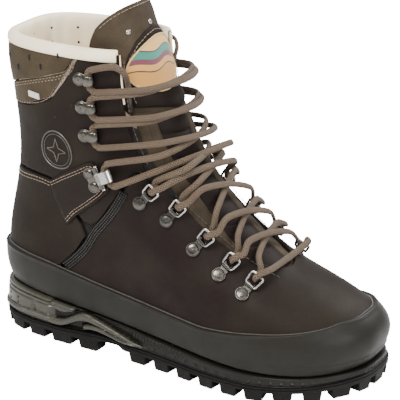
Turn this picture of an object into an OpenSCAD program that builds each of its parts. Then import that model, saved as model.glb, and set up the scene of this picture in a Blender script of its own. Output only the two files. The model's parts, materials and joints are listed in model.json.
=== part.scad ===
// Mountaineering boot for the right foot, 43 in the European size run.
// +X points to the toe, +Y to the inner (medial) side, +Z up; the tread stands on z = 0.
// The origin is under the middle of the boot's bounding box. Units are millimetres.
//
// The whole upper follows one smooth surface, given by rings of control points from the feather
// line to the collar. A place on it is (u, v): u runs once round the boot in sixteen steps, with
// 0 at the toe or shin, 1 to 7 on the outer (lateral) side, 8 at the heel and 9 to 15 on the
// inner side; v counts the rings from the feather line (0) up to the collar (10).

/* [Upper] */
// thickness of the outer leather
leather_t = 2.2; // [1.6:0.1:2.6]
// thickness of the rubber rand
rand_t = 1.9; // [1.2:0.1:2.4]
// thickness of the leather ankle strap and the collar tag
strap_t = 1.8; // [1.2:0.1:2.4]
// thickness of the heel counter and the toe puff
stiffener_t = 1.2; // [0.8:0.1:1.4]
// thickness of the inner bootie
bootie_t = 1.3; // [0.8:0.1:2]
// thickness of the padded collar lining
collar_pad_t = 4.9; // [3:0.1:5.5]
// thickness of the padded tongue
tongue_t = 4; // [2.5:0.1:5]

/* [Sole] */
// height of the tread lugs
lug_h = 7; // [4:0.5:8]
// how far the tread stands out past the feather line at the sides
tread_out = 6; // [4:0.5:8]
// how far the tread stands out past the feather line at the heel and the toe
tread_end_out = 8.5; // [6:0.5:10]
// how high the tread lifts at the tip of the toe
toe_spring = 9; // [4:0.5:12]
// thickness of the lasting board
board_t = 2.2; // [1.5:0.1:3]
// thickness of the footbed
footbed_t = 4; // [2.5:0.1:6]

/* [Lacing] */
// width of the lace
lace_w = 4.4; // [3.5:0.1:4.6]
// thickness of the lace
lace_h = 3.2; // [2.5:0.1:3.4]
// diameter of the wire of the lace rings
ring_wire_d = 1.9; // [1.5:0.1:2]
// length of a lace ring from its bar to its tip
ring_len = 9; // [8:0.5:10]
// diameter of the rivet heads
rivet_d = 8.4; // [6:0.2:9]

/* [Hidden] */
gap = 0.3;
// space between the leather and the rand, wider than the facets of both
rand_gap = 0.9;
// lift that keeps the flat plates clear of the curved leather under them
plate_lift = 0.8;
mid_x = 148.5;
mid_y = 0.8;

// ---- the surface of the upper ----------------------------------------------------------------
// each ring: rear x, z, front x, z, dip under the ball, middle y at the front,
// then the half widths from the rear to the front on the outer side and on the inner side
RINGS = [
    [4, 38, 292, 27, 68, 5, [24, 36, 36, 43, 57, 45, 17], [24, 35, 33, 38, 49, 44, 19]],
    [0, 50, 298, 38, 60, 5, [26, 39, 39, 46, 59, 47, 19], [26, 38, 37, 42, 52, 46, 21]],
    [-1, 66, 299, 51, 50, 5, [26, 39, 40, 47, 57, 45, 18], [26, 39, 39, 45, 51, 44, 20]],
    [1, 86, 281, 65, 24, 4, [25, 38, 41, 47, 51, 39, 14], [25, 38, 41, 45, 46, 38, 16]],
    [6, 106, 240, 77, 6, 3, [24, 36, 40, 45, 45, 33, 12], [24, 36, 40, 44, 44, 32, 13]],
    [10, 124, 207, 99, 0, 1, [23, 35, 40, 44, 40, 28, 11], [23, 35, 40, 43, 40, 28, 11]],
    [13, 142, 182, 124, 0, 0, [23, 35, 41, 44, 39, 26, 11], [23, 35, 41, 44, 39, 26, 11]],
    [13, 164, 159, 151, 0, 0, [23, 36, 42, 44, 39, 26, 11], [23, 36, 42, 44, 39, 26, 11]],
    [11, 190, 144, 182, 0, 0, [24, 37, 43, 44, 40, 27, 12], [24, 37, 43, 44, 40, 27, 12]],
    [9, 214, 141, 211, 0, 0, [25, 38, 43, 44, 40, 28, 12], [25, 38, 43, 44, 40, 28, 12]],
    [9, 230, 140, 230, 0, 0, [25, 38, 43, 44, 40, 28, 12], [25, 38, 43, 44, 40, 28, 12]]
];
TOP = len(RINGS) - 1;
// where the seven half widths sit, as parts of the length from the rear to the front
STATIONS = [0, 0.13, 0.33, 0.55, 0.75, 0.92, 1];

function ring_point(r, f, y) =
    [r[0] + (r[2] - r[0]) * f, y, r[1] + (r[3] - r[1]) * f - r[4] * f * f * (1 - f)];
function ring_net(r) = concat(
    [ring_point(r, 1, r[5])],
    [for (k = [6:-1:0]) ring_point(r, STATIONS[k], r[5] * STATIONS[k] - r[6][k])],
    [ring_point(r, 0, 0)],
    [for (k = [0:6]) ring_point(r, STATIONS[k], r[5] * STATIONS[k] + r[7][k])]
);
RAW_NET = [for (r = RINGS) ring_net(r)];
NET = concat([2 * RAW_NET[0] - RAW_NET[1]], RAW_NET, [2 * RAW_NET[TOP] - RAW_NET[TOP - 1]]);

function unit(a) = a / norm(a);
function mix(a, b, t) = a + (b - a) * t;
function around(u) = u - 16 * floor(u / 16);
// distance from the front seam line, the same for both sides of the boot
function fold(u) = around(u) <= 8 ? around(u) : 16 - around(u);

function weights(t) =
    [(1 - t) ^ 3, 3 * t ^ 3 - 6 * t ^ 2 + 4, -3 * t ^ 3 + 3 * t ^ 2 + 3 * t + 1, t ^ 3] / 6;
function weight_slopes(t) = [-(1 - t) ^ 2, 3 * t ^ 2 - 4 * t, -3 * t ^ 2 + 2 * t + 1, t ^ 2] / 2;
function net_sum(wu, wv, iu, iv) = wu * [
    for (b = [0:3])
        let (c = (iu + b + 15) % 16)
        wv * [for (a = [0:3]) NET[iv + a][c]]
];
// point of the surface moved outwards by d; above the collar it runs on straight
function skin(u, v, d = 0) =
    let (
        w = around(u),
        iu = floor(w),
        vc = min(max(v, 0), TOP),
        iv = min(floor(vc), TOP - 1),
        wu = weights(w - iu),
        wv = weights(vc - iv),
        slope_v = net_sum(wu, weight_slopes(vc - iv), iu, iv),
        slope_u = net_sum(weight_slopes(w - iu), wv, iu, iv)
    )
    net_sum(wu, wv, iu, iv) + (v - vc) * slope_v + unit(cross(slope_v, slope_u)) * d;
function skin_normal(u, v) = skin(u, v, 1) - skin(u, v, 0);
// point of the feather line moved outwards on the level by d
function outline(u, d) =
    let (n = skin_normal(u, 0))
    skin(u, 0) + unit([n.x, n.y, 0]) * d;

// ---- closed solids from grids of points --------------------------------------------------------
function quad(a, b, c, d) = [[a, b, c], [a, c, d]];
function flat_list(l) = [for (a = l) for (b = a) b];

// solid between an outer and an inner grid of points
module shell(outer, inner) {
    ni = len(outer);
    nj = len(outer[0]);
    m = ni * nj;
    faces = flat_list(concat(
        [for (i = [0:ni - 2]) for (j = [0:nj - 2])
            quad(i * nj + j, (i + 1) * nj + j, (i + 1) * nj + j + 1, i * nj + j + 1)],
        [for (i = [0:ni - 2]) for (j = [0:nj - 2])
            quad(m + i * nj + j, m + i * nj + j + 1, m + (i + 1) * nj + j + 1, m + (i + 1) * nj + j)],
        [for (i = [0:ni - 2])
            quad(i * nj, m + i * nj, m + (i + 1) * nj, (i + 1) * nj)],
        [for (i = [0:ni - 2])
            quad(i * nj + nj - 1, (i + 1) * nj + nj - 1, m + (i + 1) * nj + nj - 1, m + i * nj + nj - 1)],
        [for (j = [0:nj - 2])
            quad(j, j + 1, m + j + 1, m + j)],
        [for (j = [0:nj - 2])
            let (last = (ni - 1) * nj + j)
            quad(last, m + last, m + last + 1, last + 1)]
    ));
    polyhedron(concat(flat_list(outer), flat_list(inner)), faces, convexity = 8);
}

// part of the upper from u0 to u1, between two heights looked up by the distance from the front
module panel(u0, u1, nu, low, high, nv, outer, inner) {
    function place(i, j, d) =
        let (u = mix(u0, u1, i / nu), f = fold(u))
        skin(u, mix(lookup(f, low), lookup(f, high), j / nv), d);
    shell(
        [for (i = [0:nu]) [for (j = [0:nv]) place(i, j, outer)]],
        [for (i = [0:nu]) [for (j = [0:nv]) place(i, j, inner)]]
    );
}

// the same panel on the inner side of the boot when side is -1
module side_panel(side, u0, u1, nu, low, high, nv, outer, inner) {
    panel(side > 0 ? u0 : 16 - u1, side > 0 ? u1 : 16 - u0, nu, low, high, nv, outer, inner);
}

// panel that closes all the way round the boot
module band(nu, low, high, nv, outer, inner) {
    m = nu * (nv + 1);
    function corner(i, j) = (i % nu) * (nv + 1) + j;
    function place(i, j, d) =
        let (u = 16 * i / nu)
        skin(u, mix(lookup(fold(u), low), lookup(fold(u), high), j / nv), d);
    points = concat(
        [for (i = [0:nu - 1]) for (j = [0:nv]) place(i, j, outer)],
        [for (i = [0:nu - 1]) for (j = [0:nv]) place(i, j, inner)]
    );
    faces = flat_list(concat(
        [for (i = [0:nu - 1]) for (j = [0:nv - 1])
            quad(corner(i, j), corner(i + 1, j), corner(i + 1, j + 1), corner(i, j + 1))],
        [for (i = [0:nu - 1]) for (j = [0:nv - 1])
            quad(m + corner(i, j), m + corner(i, j + 1), m + corner(i + 1, j + 1), m + corner(i + 1, j))],
        [for (i = [0:nu - 1])
            quad(corner(i, 0), m + corner(i, 0), m + corner(i + 1, 0), corner(i + 1, 0))],
        [for (i = [0:nu - 1])
            quad(corner(i, nv), corner(i + 1, nv), m + corner(i + 1, nv), m + corner(i, nv))]
    ));
    polyhedron(points, faces, convexity = 8);
}

// stack of closed loops of points, lowest first, with both ends capped straight across
module loft(loops) {
    n = len(loops[0]);
    nk = len(loops);
    last = (nk - 1) * n;
    faces = flat_list(concat(
        [for (k = [0:nk - 2]) for (i = [0:n - 1])
            quad(k * n + i, k * n + (i + 1) % n, (k + 1) * n + (i + 1) % n, (k + 1) * n + i)],
        [for (i = [0:n / 2 - 1])
            i == 0 ? [[1, 0, n - 1]]
            : i == n / 2 - 1 ? [[i + 1, i, n - i]]
            : quad(i + 1, i, n - i, n - i - 1)],
        [for (i = [0:n / 2 - 1])
            i == 0 ? [[last, last + 1, last + n - 1]]
            : i == n / 2 - 1 ? [[last + i, last + i + 1, last + n - i]]
            : quad(last + i, last + i + 1, last + n - i - 1, last + n - i)]
    ));
    polyhedron(flat_list(loops), faces, convexity = 8);
}

// flat layer of the sole inside the feather line, by heights above that line
module layer(u0, u1, nu, inset, bottom, top) {
    function cross_line(u, h) = [
        for (k = [0:4])
            mix(outline(16 - u, -inset), outline(u, -inset), k / 4) + [0, 0, h]
    ];
    us = [for (i = [0:nu]) mix(u0, u1, i / nu)];
    shell([for (u = us) cross_line(u, bottom)], [for (u = us) cross_line(u, top)]);
}

// tube of flattened section along a path; side_dirs point along the wide side
module cord(path, side_dirs, w, h, sides = 8) {
    n = len(path);
    function along(i) = unit(path[min(i + 1, n - 1)] - path[max(i - 1, 0)]);
    function section(i) =
        let (
            t = along(i),
            a = unit(side_dirs[i] - t * (side_dirs[i] * t)),
            b = cross(t, a)
        )
        [for (k = [0:sides - 1])
            let (turn = k * 360 / sides)
            path[i] + a * cos(turn) * w / 2 + b * sin(turn) * h / 2];
    faces = flat_list(concat(
        [for (i = [0:n - 2]) for (k = [0:sides - 1])
            quad(
                i * sides + k,
                (i + 1) * sides + k,
                (i + 1) * sides + (k + 1) % sides,
                i * sides + (k + 1) % sides
            )],
        [[for (k = [1:sides - 2]) [0, k, k + 1]]],
        [[for (k = [1:sides - 2]) [(n - 1) * sides, (n - 1) * sides + k + 1, (n - 1) * sides + k]]]
    ));
    polyhedron(flat_list([for (i = [0:n - 1]) section(i)]), faces, convexity = 12);
}

// ---- frames for the metal fittings -------------------------------------------------------------
// a frame is [point, direction to the throat, direction along the throat, outward normal]
function fitting_frame(side, at, to, lift = 0) =
    let (
        u1 = side > 0 ? at[0] : 16 - at[0],
        u2 = side > 0 ? to[0] : 16 - to[0],
        p = skin(u1, at[1]),
        q = skin(u2, to[1]),
        n = unit(skin_normal(u1, at[1]) + skin_normal(u2, to[1])),
        t = unit((q - p) - n * ((q - p) * n))
    )
    [p + n * lift, t, cross(n, t), n];
function in_frame(f, a) = f[0] + f[1] * a[0] + f[2] * a[1] + f[3] * a[2];
module on_frame(f) {
    multmatrix([
        [f[1].x, f[2].x, f[3].x, f[0].x],
        [f[1].y, f[2].y, f[3].y, f[0].y],
        [f[1].z, f[2].z, f[3].z, f[0].z],
        [0, 0, 0, 1]
    ])
        children();
}

// lace ring clips from the ankle down to the toe: rivet place and ring place
CLIPS = [
    [[3.35, 5.8], [2.85, 6.25]],
    [[2.95, 5.43], [2.55, 5.8]],
    [[2.8, 4.67], [2.35, 5.05]],
    [[2.7, 4.0], [2.12, 4.5]],
    [[2.62, 3.45], [2.1, 3.93]]
];
HOOKS = [[[3.7, 9.03], [3.1, 9.12]], [[3.73, 8.22], [3.1, 8.33]], [[3.85, 7.48], [3.2, 7.62]]];
LOCK = [[4.22, 6.2], [3.55, 6.6]];
strap_lift = gap + strap_t + plate_lift;

function clip_frame(side, k) = fitting_frame(side, CLIPS[k][0], CLIPS[k][1], plate_lift);
function hook_frame(side, k) = fitting_frame(side, HOOKS[k][0], HOOKS[k][1]);
function lock_frame(side) = fitting_frame(side, LOCK[0], LOCK[1], strap_lift);

plate_t = 0.9;
ring_bar_t = 8;
ring_bar_n = gap + 2.05;
ring_tilt = 20;
ring_tip = [ring_bar_t + ring_len * cos(ring_tilt), 0, ring_bar_n + ring_len * sin(ring_tilt)];
lock_bar_t = 11;

module placed() {
    translate([-mid_x, -mid_y, 0])
        children();
}

// ---- edges of the panels, as tables of height against distance from the front ------------------
RAND_TOP = [[0, 2.58], [1.33, 2.53], [2.18, 2.25], [2.85, 2.02], [3.65, 1.62], [4.42, 1.7],
    [5.05, 1.78], [5.83, 1.98], [8, 2.02]];
FLOOR = [[0, 0], [8, 0]];
VAMP_TOP = [[0, 4.3], [0.7, 4.34], [1.25, 4.44], [1.65, 4.6], [1.95, 4.85], [2.2, 5.5], [2.5, 6.2],
    [2.75, 6.55], [3.1, 6.6], [3.58, 6.1], [4.2, 5.2], [4.8, 4.15], [5.2, 3.1], [5.58, 1.98],
    [5.9, 0.8], [6, 0.4]];
QUARTER_LOW = [[2.74, 6.72], [3.1, 6.72], [3.58, 6.24], [4.2, 5.34], [4.8, 4.3], [5.02, 4.2],
    [5.3, 5.4], [5.48, 5.6], [6.68, 5.42], [8, 5.36]];
QUARTER_TOP = [[2.74, 10], [3.8, 10], [4, 9.6], [4.35, 8.85], [4.9, 8.15], [5.73, 7.78],
    [6.8, 7.6], [8, 7.55]];
COLLAR_LOW = [[3.92, 9.9], [4.06, 9.62], [4.41, 8.88], [4.94, 8.2], [5.73, 7.84], [6.8, 7.66],
    [8, 7.61]];
COLLAR_SPLIT = [[3.92, 9.95], [4.06, 9.66], [4.33, 9.1], [5.15, 8.72], [6.78, 8.15], [8, 8.05]];
COLLAR_TOP = [[2, 10], [8, 10]];
HEEL_LOW = [[5.08, 3.75], [5.32, 2.98], [5.68, 1.98], [5.99, 0.8], [6.1, 0], [8, 0]];
HEEL_TOP = [[5.08, 4.0], [5.34, 5.2], [5.5, 5.48], [6.68, 5.3], [8, 5.24]];

// ================================================================================================
// sole
// ================================================================================================
GROUND = [[-10, 2.4], [0, 1], [14, 0], [215, 0], [240, 0.9], [262, 2.9], [285, 6.2], [303, toe_spring]];
TREAD_TOP = [[-10, 15.5], [60, 15], [95, 17.5], [130, 14.5], [180, 12], [230, 12.3], [262, 15.2],
    [285, 19], [303, 22]];
TREAD_OUT = [[0, tread_end_out], [0.9, tread_end_out], [2.2, tread_out], [6, tread_out],
    [7.1, tread_end_out - 1], [8, tread_end_out - 1]];

function sole_loop(n, out, z_of_x, extra) = [
    for (i = [0:n - 1])
        let (
            u = 16 * i / n,
            p = outline(u, lookup(fold(u), TREAD_OUT) + out)
        )
        [p.x, p.y, lookup(p.x, z_of_x) + extra]
];
// loop of the sole a set height under the feather line
function feather_loop(n, out, drop) = [
    for (i = [0:n - 1])
        let (
            u = 16 * i / n,
            p = outline(u, lookup(fold(u), TREAD_OUT) + out)
        )
        [p.x, p.y, skin(u, 0).z - drop]
];

// one lug under the edge of the tread between two places along it
module edge_lug(u0, u1, depth) {
    um = (u0 + u1) / 2;
    function foot(u, inset, grow) =
        let (p = outline(mix(um, u, grow), lookup(fold(u), TREAD_OUT) - inset))
        [p.x, p.y, lookup(p.x, GROUND)];
    tread = [foot(u0, 1, 0.9), foot(u1, 1, 0.9), foot(u1, depth, 0.9), foot(u0, depth, 0.9)];
    root = [foot(u0, 0.2, 1), foot(u1, 0.2, 1), foot(u1, depth + 1, 1), foot(u0, depth + 1, 1)];
    shell(
        [[tread[0], tread[1]], [tread[3], tread[2]]],
        [[root[0] + [0, 0, lug_h + 1], root[1] + [0, 0, lug_h + 1]],
            [root[3] + [0, 0, lug_h + 1], root[2] + [0, 0, lug_h + 1]]]
    );
}

EDGE_LUGS = [[0.62, 1.02], [1.22, 1.6], [1.78, 2.08], [2.24, 2.52], [2.66, 2.92], [3.04, 3.27],
    [3.39, 3.6], [3.73, 3.94], [4.07, 4.28], [4.41, 4.64],
    [5.12, 5.4], [5.52, 5.85], [5.98, 6.3], [6.45, 6.85], [7.02, 7.55]];
MID_LUGS = [[22, 3], [44, 5], [66, 5], [142, 4], [162, 4], [182, 5], [202, 6], [222, 7], [243, 8]];

module outsole() {
    color([0.13, 0.12, 0.11])
        placed() {
            difference() {
                loft([
                    sole_loop(64, -1.2, GROUND, lug_h),
                    sole_loop(64, 0, GROUND, lug_h + 2),
                    sole_loop(64, 0, TREAD_TOP, -1.5),
                    sole_loop(64, -0.8, TREAD_TOP, 0)
                ]);
                // the waist is hollowed between the heel and the forefoot
                translate([91, -80, -1])
                    cube([26, 160, lug_h + 4]);
            }
            for (e = EDGE_LUGS) {
                edge_lug(e[0], e[1], 13);
                edge_lug(16 - e[1], 16 - e[0], 13);
            }
            edge_lug(-0.36, 0.36, 13);
            for (m = MID_LUGS)
                for (s = [-1, 1])
                    translate([m[0], m[1] * 0.5 + s * 12, lookup(m[0] + 5, GROUND)])
                        rotate([0, 0, s * 24])
                            linear_extrude(lug_h + 1)
                                square([11, 15], center = true);
        }
}

module midsole() {
    color([0.38, 0.37, 0.32])
        placed()
            loft([
                sole_loop(64, -2, TREAD_TOP, gap),
                sole_loop(64, -1, TREAD_TOP, gap + 1.5),
                feather_loop(64, -2.2, 5),
                feather_loop(64, -3, 2.4),
                feather_loop(64, -4, 1.4)
            ]);
}

// raised rubber bridge that stiffens the waist on one side
module stabilizer(side) {
    us = [for (i = [0:20]) mix(4.35, 6.4, i / 20)];
    function wall(u, t, d) =
        let (
            w = side > 0 ? u : 16 - u,
            o = lookup(u, TREAD_OUT),
            low = outline(w, o - 1 + d),
            high = outline(w, o - 2.2 + d),
            z0 = lookup(low.x, TREAD_TOP) + 2.2,
            z1 = skin(w, 0).z - 5.4
        )
        [mix(low.x, high.x, t), mix(low.y, high.y, t), mix(z0, z1, t)];
    function grid(d) = [
        for (u = (side > 0 ? us : [for (i = [20:-1:0]) us[i]]))
            [for (j = [0:3]) wall(u, mix(0.05, 0.35 + 0.6 * abs(sin((u - 4.35) * 130)), j / 3), d)]
    ];
    shell(grid(1.6), grid(gap));
}
module stabilizer_lateral() {
    color([0.3, 0.29, 0.26])
        placed()
            stabilizer(1);
}
module stabilizer_medial() {
    color([0.3, 0.29, 0.26])
        placed()
            stabilizer(-1);
}

module shank() {
    color([0.6, 0.6, 0.62])
        placed()
            layer(3.4, 5.9, 12, 24, -0.1, 0.9);
}
module insole_board() {
    color([0.75, 0.68, 0.55])
        placed()
            layer(0.4, 7.6, 30, 6.2, 1.2, 1.2 + board_t);
}
module footbed() {
    color([0.3, 0.3, 0.32])
        placed()
            layer(0.5, 7.5, 30, 8, 1.5 + board_t, 1.5 + board_t + footbed_t);
}

// ================================================================================================
// upper
// ================================================================================================
module rand() {
    color([0.22, 0.21, 0.18])
        placed()
            band(64, [[0, 0.06], [8, 0.06]], RAND_TOP, 4, rand_gap + rand_t, rand_gap);
}
module vamp() {
    color([0.17, 0.14, 0.13])
        placed()
            panel(-6, 6, 60, FLOOR, VAMP_TOP, 9, 0, -leather_t);
}
module heel_panel() {
    color([0.17, 0.14, 0.13])
        placed()
            panel(5.08, 10.92, 34, HEEL_LOW, HEEL_TOP, 7, 0, -leather_t);
}
module quarter(side) {
    side_panel(side, 2.74, 7.98, 30, QUARTER_LOW, QUARTER_TOP, 6, 0, -leather_t);
}
module quarter_lateral() {
    color([0.18, 0.15, 0.13])
        placed()
            quarter(1);
}
module quarter_medial() {
    color([0.18, 0.15, 0.13])
        placed()
            quarter(-1);
}
module collar_panel_lower() {
    color([0.38, 0.34, 0.26])
        placed()
            panel(4.06, 11.94, 36, COLLAR_LOW, COLLAR_SPLIT, 2, 0, -leather_t);
}
module collar_panel_upper() {
    low = [for (s = COLLAR_SPLIT) [s[0], s[1] + 0.04]];
    color([0.4, 0.36, 0.27])
        placed()
            panel(3.98, 12.02, 36, low, COLLAR_TOP, 3, 0, -leather_t);
}

// strap from the heel seam up to the locking hook
STRAP_UP = [[5.55, 5.45], [5.1, 5.95], [4.6, 6.4], [4.15, 6.7], [3.98, 6.55], [3.9, 6.3]];
STRAP_LOW = [[5.35, 3.9], [5.05, 4.5], [4.6, 5.15], [4.25, 5.6], [4.0, 5.9], [3.9, 6.1]];
module ankle_strap(side) {
    order = side > 0 ? [5:-1:0] : [0:5];
    function grid(d) = [
        for (i = order)
            [for (j = [0:5])
                let (q = mix(STRAP_LOW[i], STRAP_UP[i], j / 5))
                skin(side > 0 ? q[0] : 16 - q[0], q[1], d)]
    ];
    shell(grid(gap + strap_t), grid(gap));
}
module ankle_strap_lateral() {
    color([0.2, 0.17, 0.15])
        placed()
            ankle_strap(1);
}
module ankle_strap_medial() {
    color([0.2, 0.17, 0.15])
        placed()
            ankle_strap(-1);
}
module side_tag() {
    color([0.85, 0.85, 0.82])
        placed()
            panel(5.28, 5.62, 4, [[5, 8.03], [6, 8.03]], [[5, 8.26], [6, 8.26]], 2, gap + 0.8, gap);
}
module heel_counter() {
    color([0.6, 0.58, 0.5])
        placed()
            panel(5.7, 10.3, 22, [[5, 0.3], [8, 0.3]], [[5, 2.6], [6.6, 4.6], [8, 4.8]], 5,
                -leather_t - 2 * gap, -leather_t - 2 * gap - stiffener_t);
}
module toe_puff() {
    color([0.6, 0.58, 0.5])
        placed()
            panel(-2.2, 2.2, 18, [[0, 0.4], [3, 0.4]], [[0, 2.9], [1.4, 2.8], [2.3, 2.3]], 5,
                -leather_t - 2 * gap, -leather_t - 2 * gap - stiffener_t);
}
bootie_out = -leather_t - 2 * gap - stiffener_t - 0.6;
module bootie_lining() {
    color([0.9, 0.85, 0.75])
        placed()
            band(56, [[0, 0.12], [8, 0.12]],
                [[0, 3.15], [1, 3.2], [1.9, 3.6], [2.3, 4.4], [2.6, 5.3], [2.9, 6.3], [3.1, 7.2],
                    [3.3, 8.15], [8, 8.15]],
                7, bootie_out, bootie_out - bootie_t);
}
module collar_lining() {
    color([0.93, 0.87, 0.76])
        placed()
            panel(2.86, 13.14, 40, [[2, 8.3], [8, 8.3]], [[2, 10.1], [8, 10.1]], 4,
                -leather_t - gap, -leather_t - gap - collar_pad_t);
}
module gusset(side) {
    side_panel(side, 2.36, 2.98, 4, [[2, 4.9], [2.4, 5.4], [3, 6.9]], [[2, 7.7], [3, 7.9]], 8,
        -leather_t - gap, -leather_t - gap - 0.8);
}
module gusset_lateral() {
    color([0.15, 0.14, 0.13])
        placed()
            gusset(1);
}
module gusset_medial() {
    color([0.15, 0.14, 0.13])
        placed()
            gusset(-1);
}

// ================================================================================================
// tongue
// ================================================================================================
tongue_out = -2.8;
TONGUE_LOW = [[0, 3.75], [1.2, 3.9], [1.8, 4.5], [2.1, 5.2], [2.26, 5.6]];
TONGUE_SPLIT = [[0, 7.94], [1, 7.9], [2.26, 7.55]];
module tongue() {
    color([0.4, 0.36, 0.27])
        placed()
            panel(-2.26, 2.26, 16, TONGUE_LOW, TONGUE_SPLIT, 9, tongue_out, tongue_out - tongue_t);
}
module tongue_cover() {
    color([0.2, 0.18, 0.16])
        placed()
            panel(-0.9, 0.9, 9, [[0, 4.42], [0.9, 4.5]], [[0, 7.85], [0.9, 7.82]], 9,
                tongue_out + 1.5 * gap + 0.8, tongue_out + 1.5 * gap);
}

// the upper tongue bends in behind the collar at its wings and leans back into the empty shaft
tongue_lean = 17;
tongue_bend_height = 7.98;
function lean_at(v) =
    let (t = min(1, max(0, (v - 7.55) / 1.25)))
    tongue_lean * t * t * (3 - 2 * t);
function wing_skin(u, v, d) =
    let (
        f = fold(u),
        a = lean_at(v),
        bend = skin(0, tongue_bend_height, tongue_out - 2.4),
        p = skin(u, v, tongue_out - 0.4 - 0.6 * f * f + d),
        q = [p.x - bend.x, p.y, p.z - bend.z]
    )
    [bend.x + q.x * cos(a) - q.z * sin(a), q.y, bend.z + q.x * sin(a) + q.z * cos(a)];
module wing_panel(u0, u1, nu, low, high, nv, outer, inner) {
    function place(i, j, d) =
        let (u = mix(u0, u1, i / nu), f = fold(u))
        wing_skin(u, mix(lookup(f, low), lookup(f, high), j / nv), d);
    shell(
        [for (i = [0:nu]) [for (j = [0:nv]) place(i, j, outer)]],
        [for (i = [0:nu]) [for (j = [0:nv]) place(i, j, inner)]]
    );
}
module tongue_top() {
    high = [for (i = [0:12]) [i / 4, 11.95 - 0.006 * (i / 4) ^ 4]];
    color([0.4, 0.36, 0.27])
        placed()
            wing_panel(-3, 3, 20, [[0, 8.02], [1, 8.08], [3, 8.6]], high, 8, 0, -tongue_t);
}
COVER_TOP = [[0, 10.95], [0.8, 10.85], [1.4, 10.6], [1.9, 10.15], [2.3, 9.4]];
module tongue_top_cover() {
    color([0.2, 0.18, 0.16])
        placed()
            wing_panel(-2.3, 2.3, 16, [[0, 8.15], [2.3, 8.45]], COVER_TOP, 7, gap + 1.2, gap);
}
label_u = 0.35;
label_v = 9.65;
label_a = 1.75;
label_b = 0.92;
module tongue_label() {
    n = 12;
    function half_height(t) = label_b * sqrt(1 - t * t);
    function grid(d) = [
        for (i = [0:n])
            let (t = mix(-0.985, 0.985, i / n), u = label_u + label_a * t)
            [for (j = [0:4])
                wing_skin(u, label_v + half_height(t) * (j / 2 - 1), d)]
    ];
    color([0.85, 0.66, 0.35])
        placed()
            shell(grid(2 * gap + 2.1), grid(2 * gap + 1.2));
}
module tongue_studs() {
    color([0.8, 0.8, 0.8])
        placed()
            for (s = [[1.6, 11.0], [0.05, 11.1]]) {
                n = unit(wing_skin(s[0], s[1], 1) - wing_skin(s[0], s[1], 0));
                c = wing_skin(s[0], s[1], gap);
                t = unit(cross(n, [0, 0, 1]));
                on_frame([c, t, cross(n, t), n])
                    cylinder(d1 = 4, d2 = 3, h = 1, $fn = 24);
            }
}

// ================================================================================================
// lacing hardware
// ================================================================================================
// head and shank of a rivet standing on a plate
module rivet(d) {
    rotate_extrude($fn = 32)
        polygon([
            [0, gap + 0.15], [1.3, gap + 0.15], [1.3, gap + plate_t + 0.1], [d / 2, gap + plate_t + 0.1],
            [d / 2, gap + plate_t + 0.6], [d / 2 - 0.7, gap + plate_t + 1.2],
            [d / 4, gap + plate_t + 1.5], [0, gap + plate_t + 1.6]
        ]);
}

// clip that is riveted on and rolled round the bar of a lace ring
module ring_clip() {
    difference() {
        union() {
            translate([0, 0, gap])
                linear_extrude(plate_t)
                    union() {
                        circle(d = 10, $fn = 32);
                        translate([0, -3.2])
                            square([ring_bar_t, 6.4]);
                    }
            translate([ring_bar_t, 3.2, ring_bar_n])
                rotate([90, 0, 0])
                    cylinder(d = 4.1, h = 6.4, $fn = 32);
        }
        translate([0, 0, -1])
            cylinder(d = 3.2, h = 4, $fn = 24);
        translate([ring_bar_t, 6, ring_bar_n])
            rotate([90, 0, 0])
                cylinder(d = ring_wire_d + 0.7, h = 12, $fn = 24);
    }
}

// closed loop of round wire through flat points
module wire_loop(points, r, sides) {
    n = len(points);
    m = n * sides;
    function section(i) =
        let (
            t = unit(points[(i + 1) % n] - points[(i + n - 1) % n]),
            b = [0, 0, 1],
            a = cross(b, t)
        )
        [for (k = [0:sides - 1]) points[i] + (a * cos(k * 360 / sides) + b * sin(k * 360 / sides)) * r];
    faces = flat_list([
        for (i = [0:n - 1]) for (k = [0:sides - 1])
            quad(
                i * sides + k,
                ((i + 1) * sides + k) % m,
                ((i + 1) * sides + (k + 1) % sides) % m,
                i * sides + (k + 1) % sides
            )
    ]);
    polyhedron(flat_list([for (i = [0:n - 1]) section(i)]), faces, convexity = 4);
}

// wire ring: bar in the clip, two legs and a tip bar; x runs from the bar to the tip
module lace_ring() {
    half_bar = 4.6;
    half_tip = 5.2;
    bend = 1.7;
    function corner(x, y, a) = [
        for (k = [0:2])
            [x - sign(x - ring_len / 2) * bend, y - sign(y) * bend, 0]
            + bend * [cos(a + k * 45), sin(a + k * 45), 0]
    ];
    wire_loop(
        concat(
            corner(ring_len, half_tip, 0),
            corner(0, half_bar, 90),
            corner(0, -half_bar, 180),
            corner(ring_len, -half_tip, 270)
        ),
        ring_wire_d / 2, 8
    );
}

module lace_ring_at(side, k) {
    color([0.5, 0.5, 0.5])
        placed()
            on_frame(clip_frame(side, k))
                translate([ring_bar_t, 0, ring_bar_n])
                    rotate([0, -ring_tilt, 0])
                        lace_ring();
}

// side view of a hook: a strip that rises at the throat and turns back over its own foot
function arc_points(c, r, a0, a1, n) =
    [for (i = [0:n]) c + r * [cos(mix(a0, a1, i / n)), sin(mix(a0, a1, i / n))]];
hook_c = [3.2, 4.3];
function hook_profile(foot_t) = concat(
    [[foot_t, gap], [hook_c.x, gap]],
    arc_points(hook_c, hook_c.y - gap, -80, 90, 12),
    [[-1, 8.3], [-3.4, 9.2], [-3.8, 8.3], [-1, 7.3]],
    arc_points(hook_c, hook_c.y - gap - 1.05, 90, -90, 12),
    [[foot_t, gap + 1.05]]
);
module hook_strip(foot_t, w) {
    translate([0, w / 2, 0])
        rotate([90, 0, 0])
            linear_extrude(w)
                polygon(hook_profile(foot_t));
}

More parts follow.
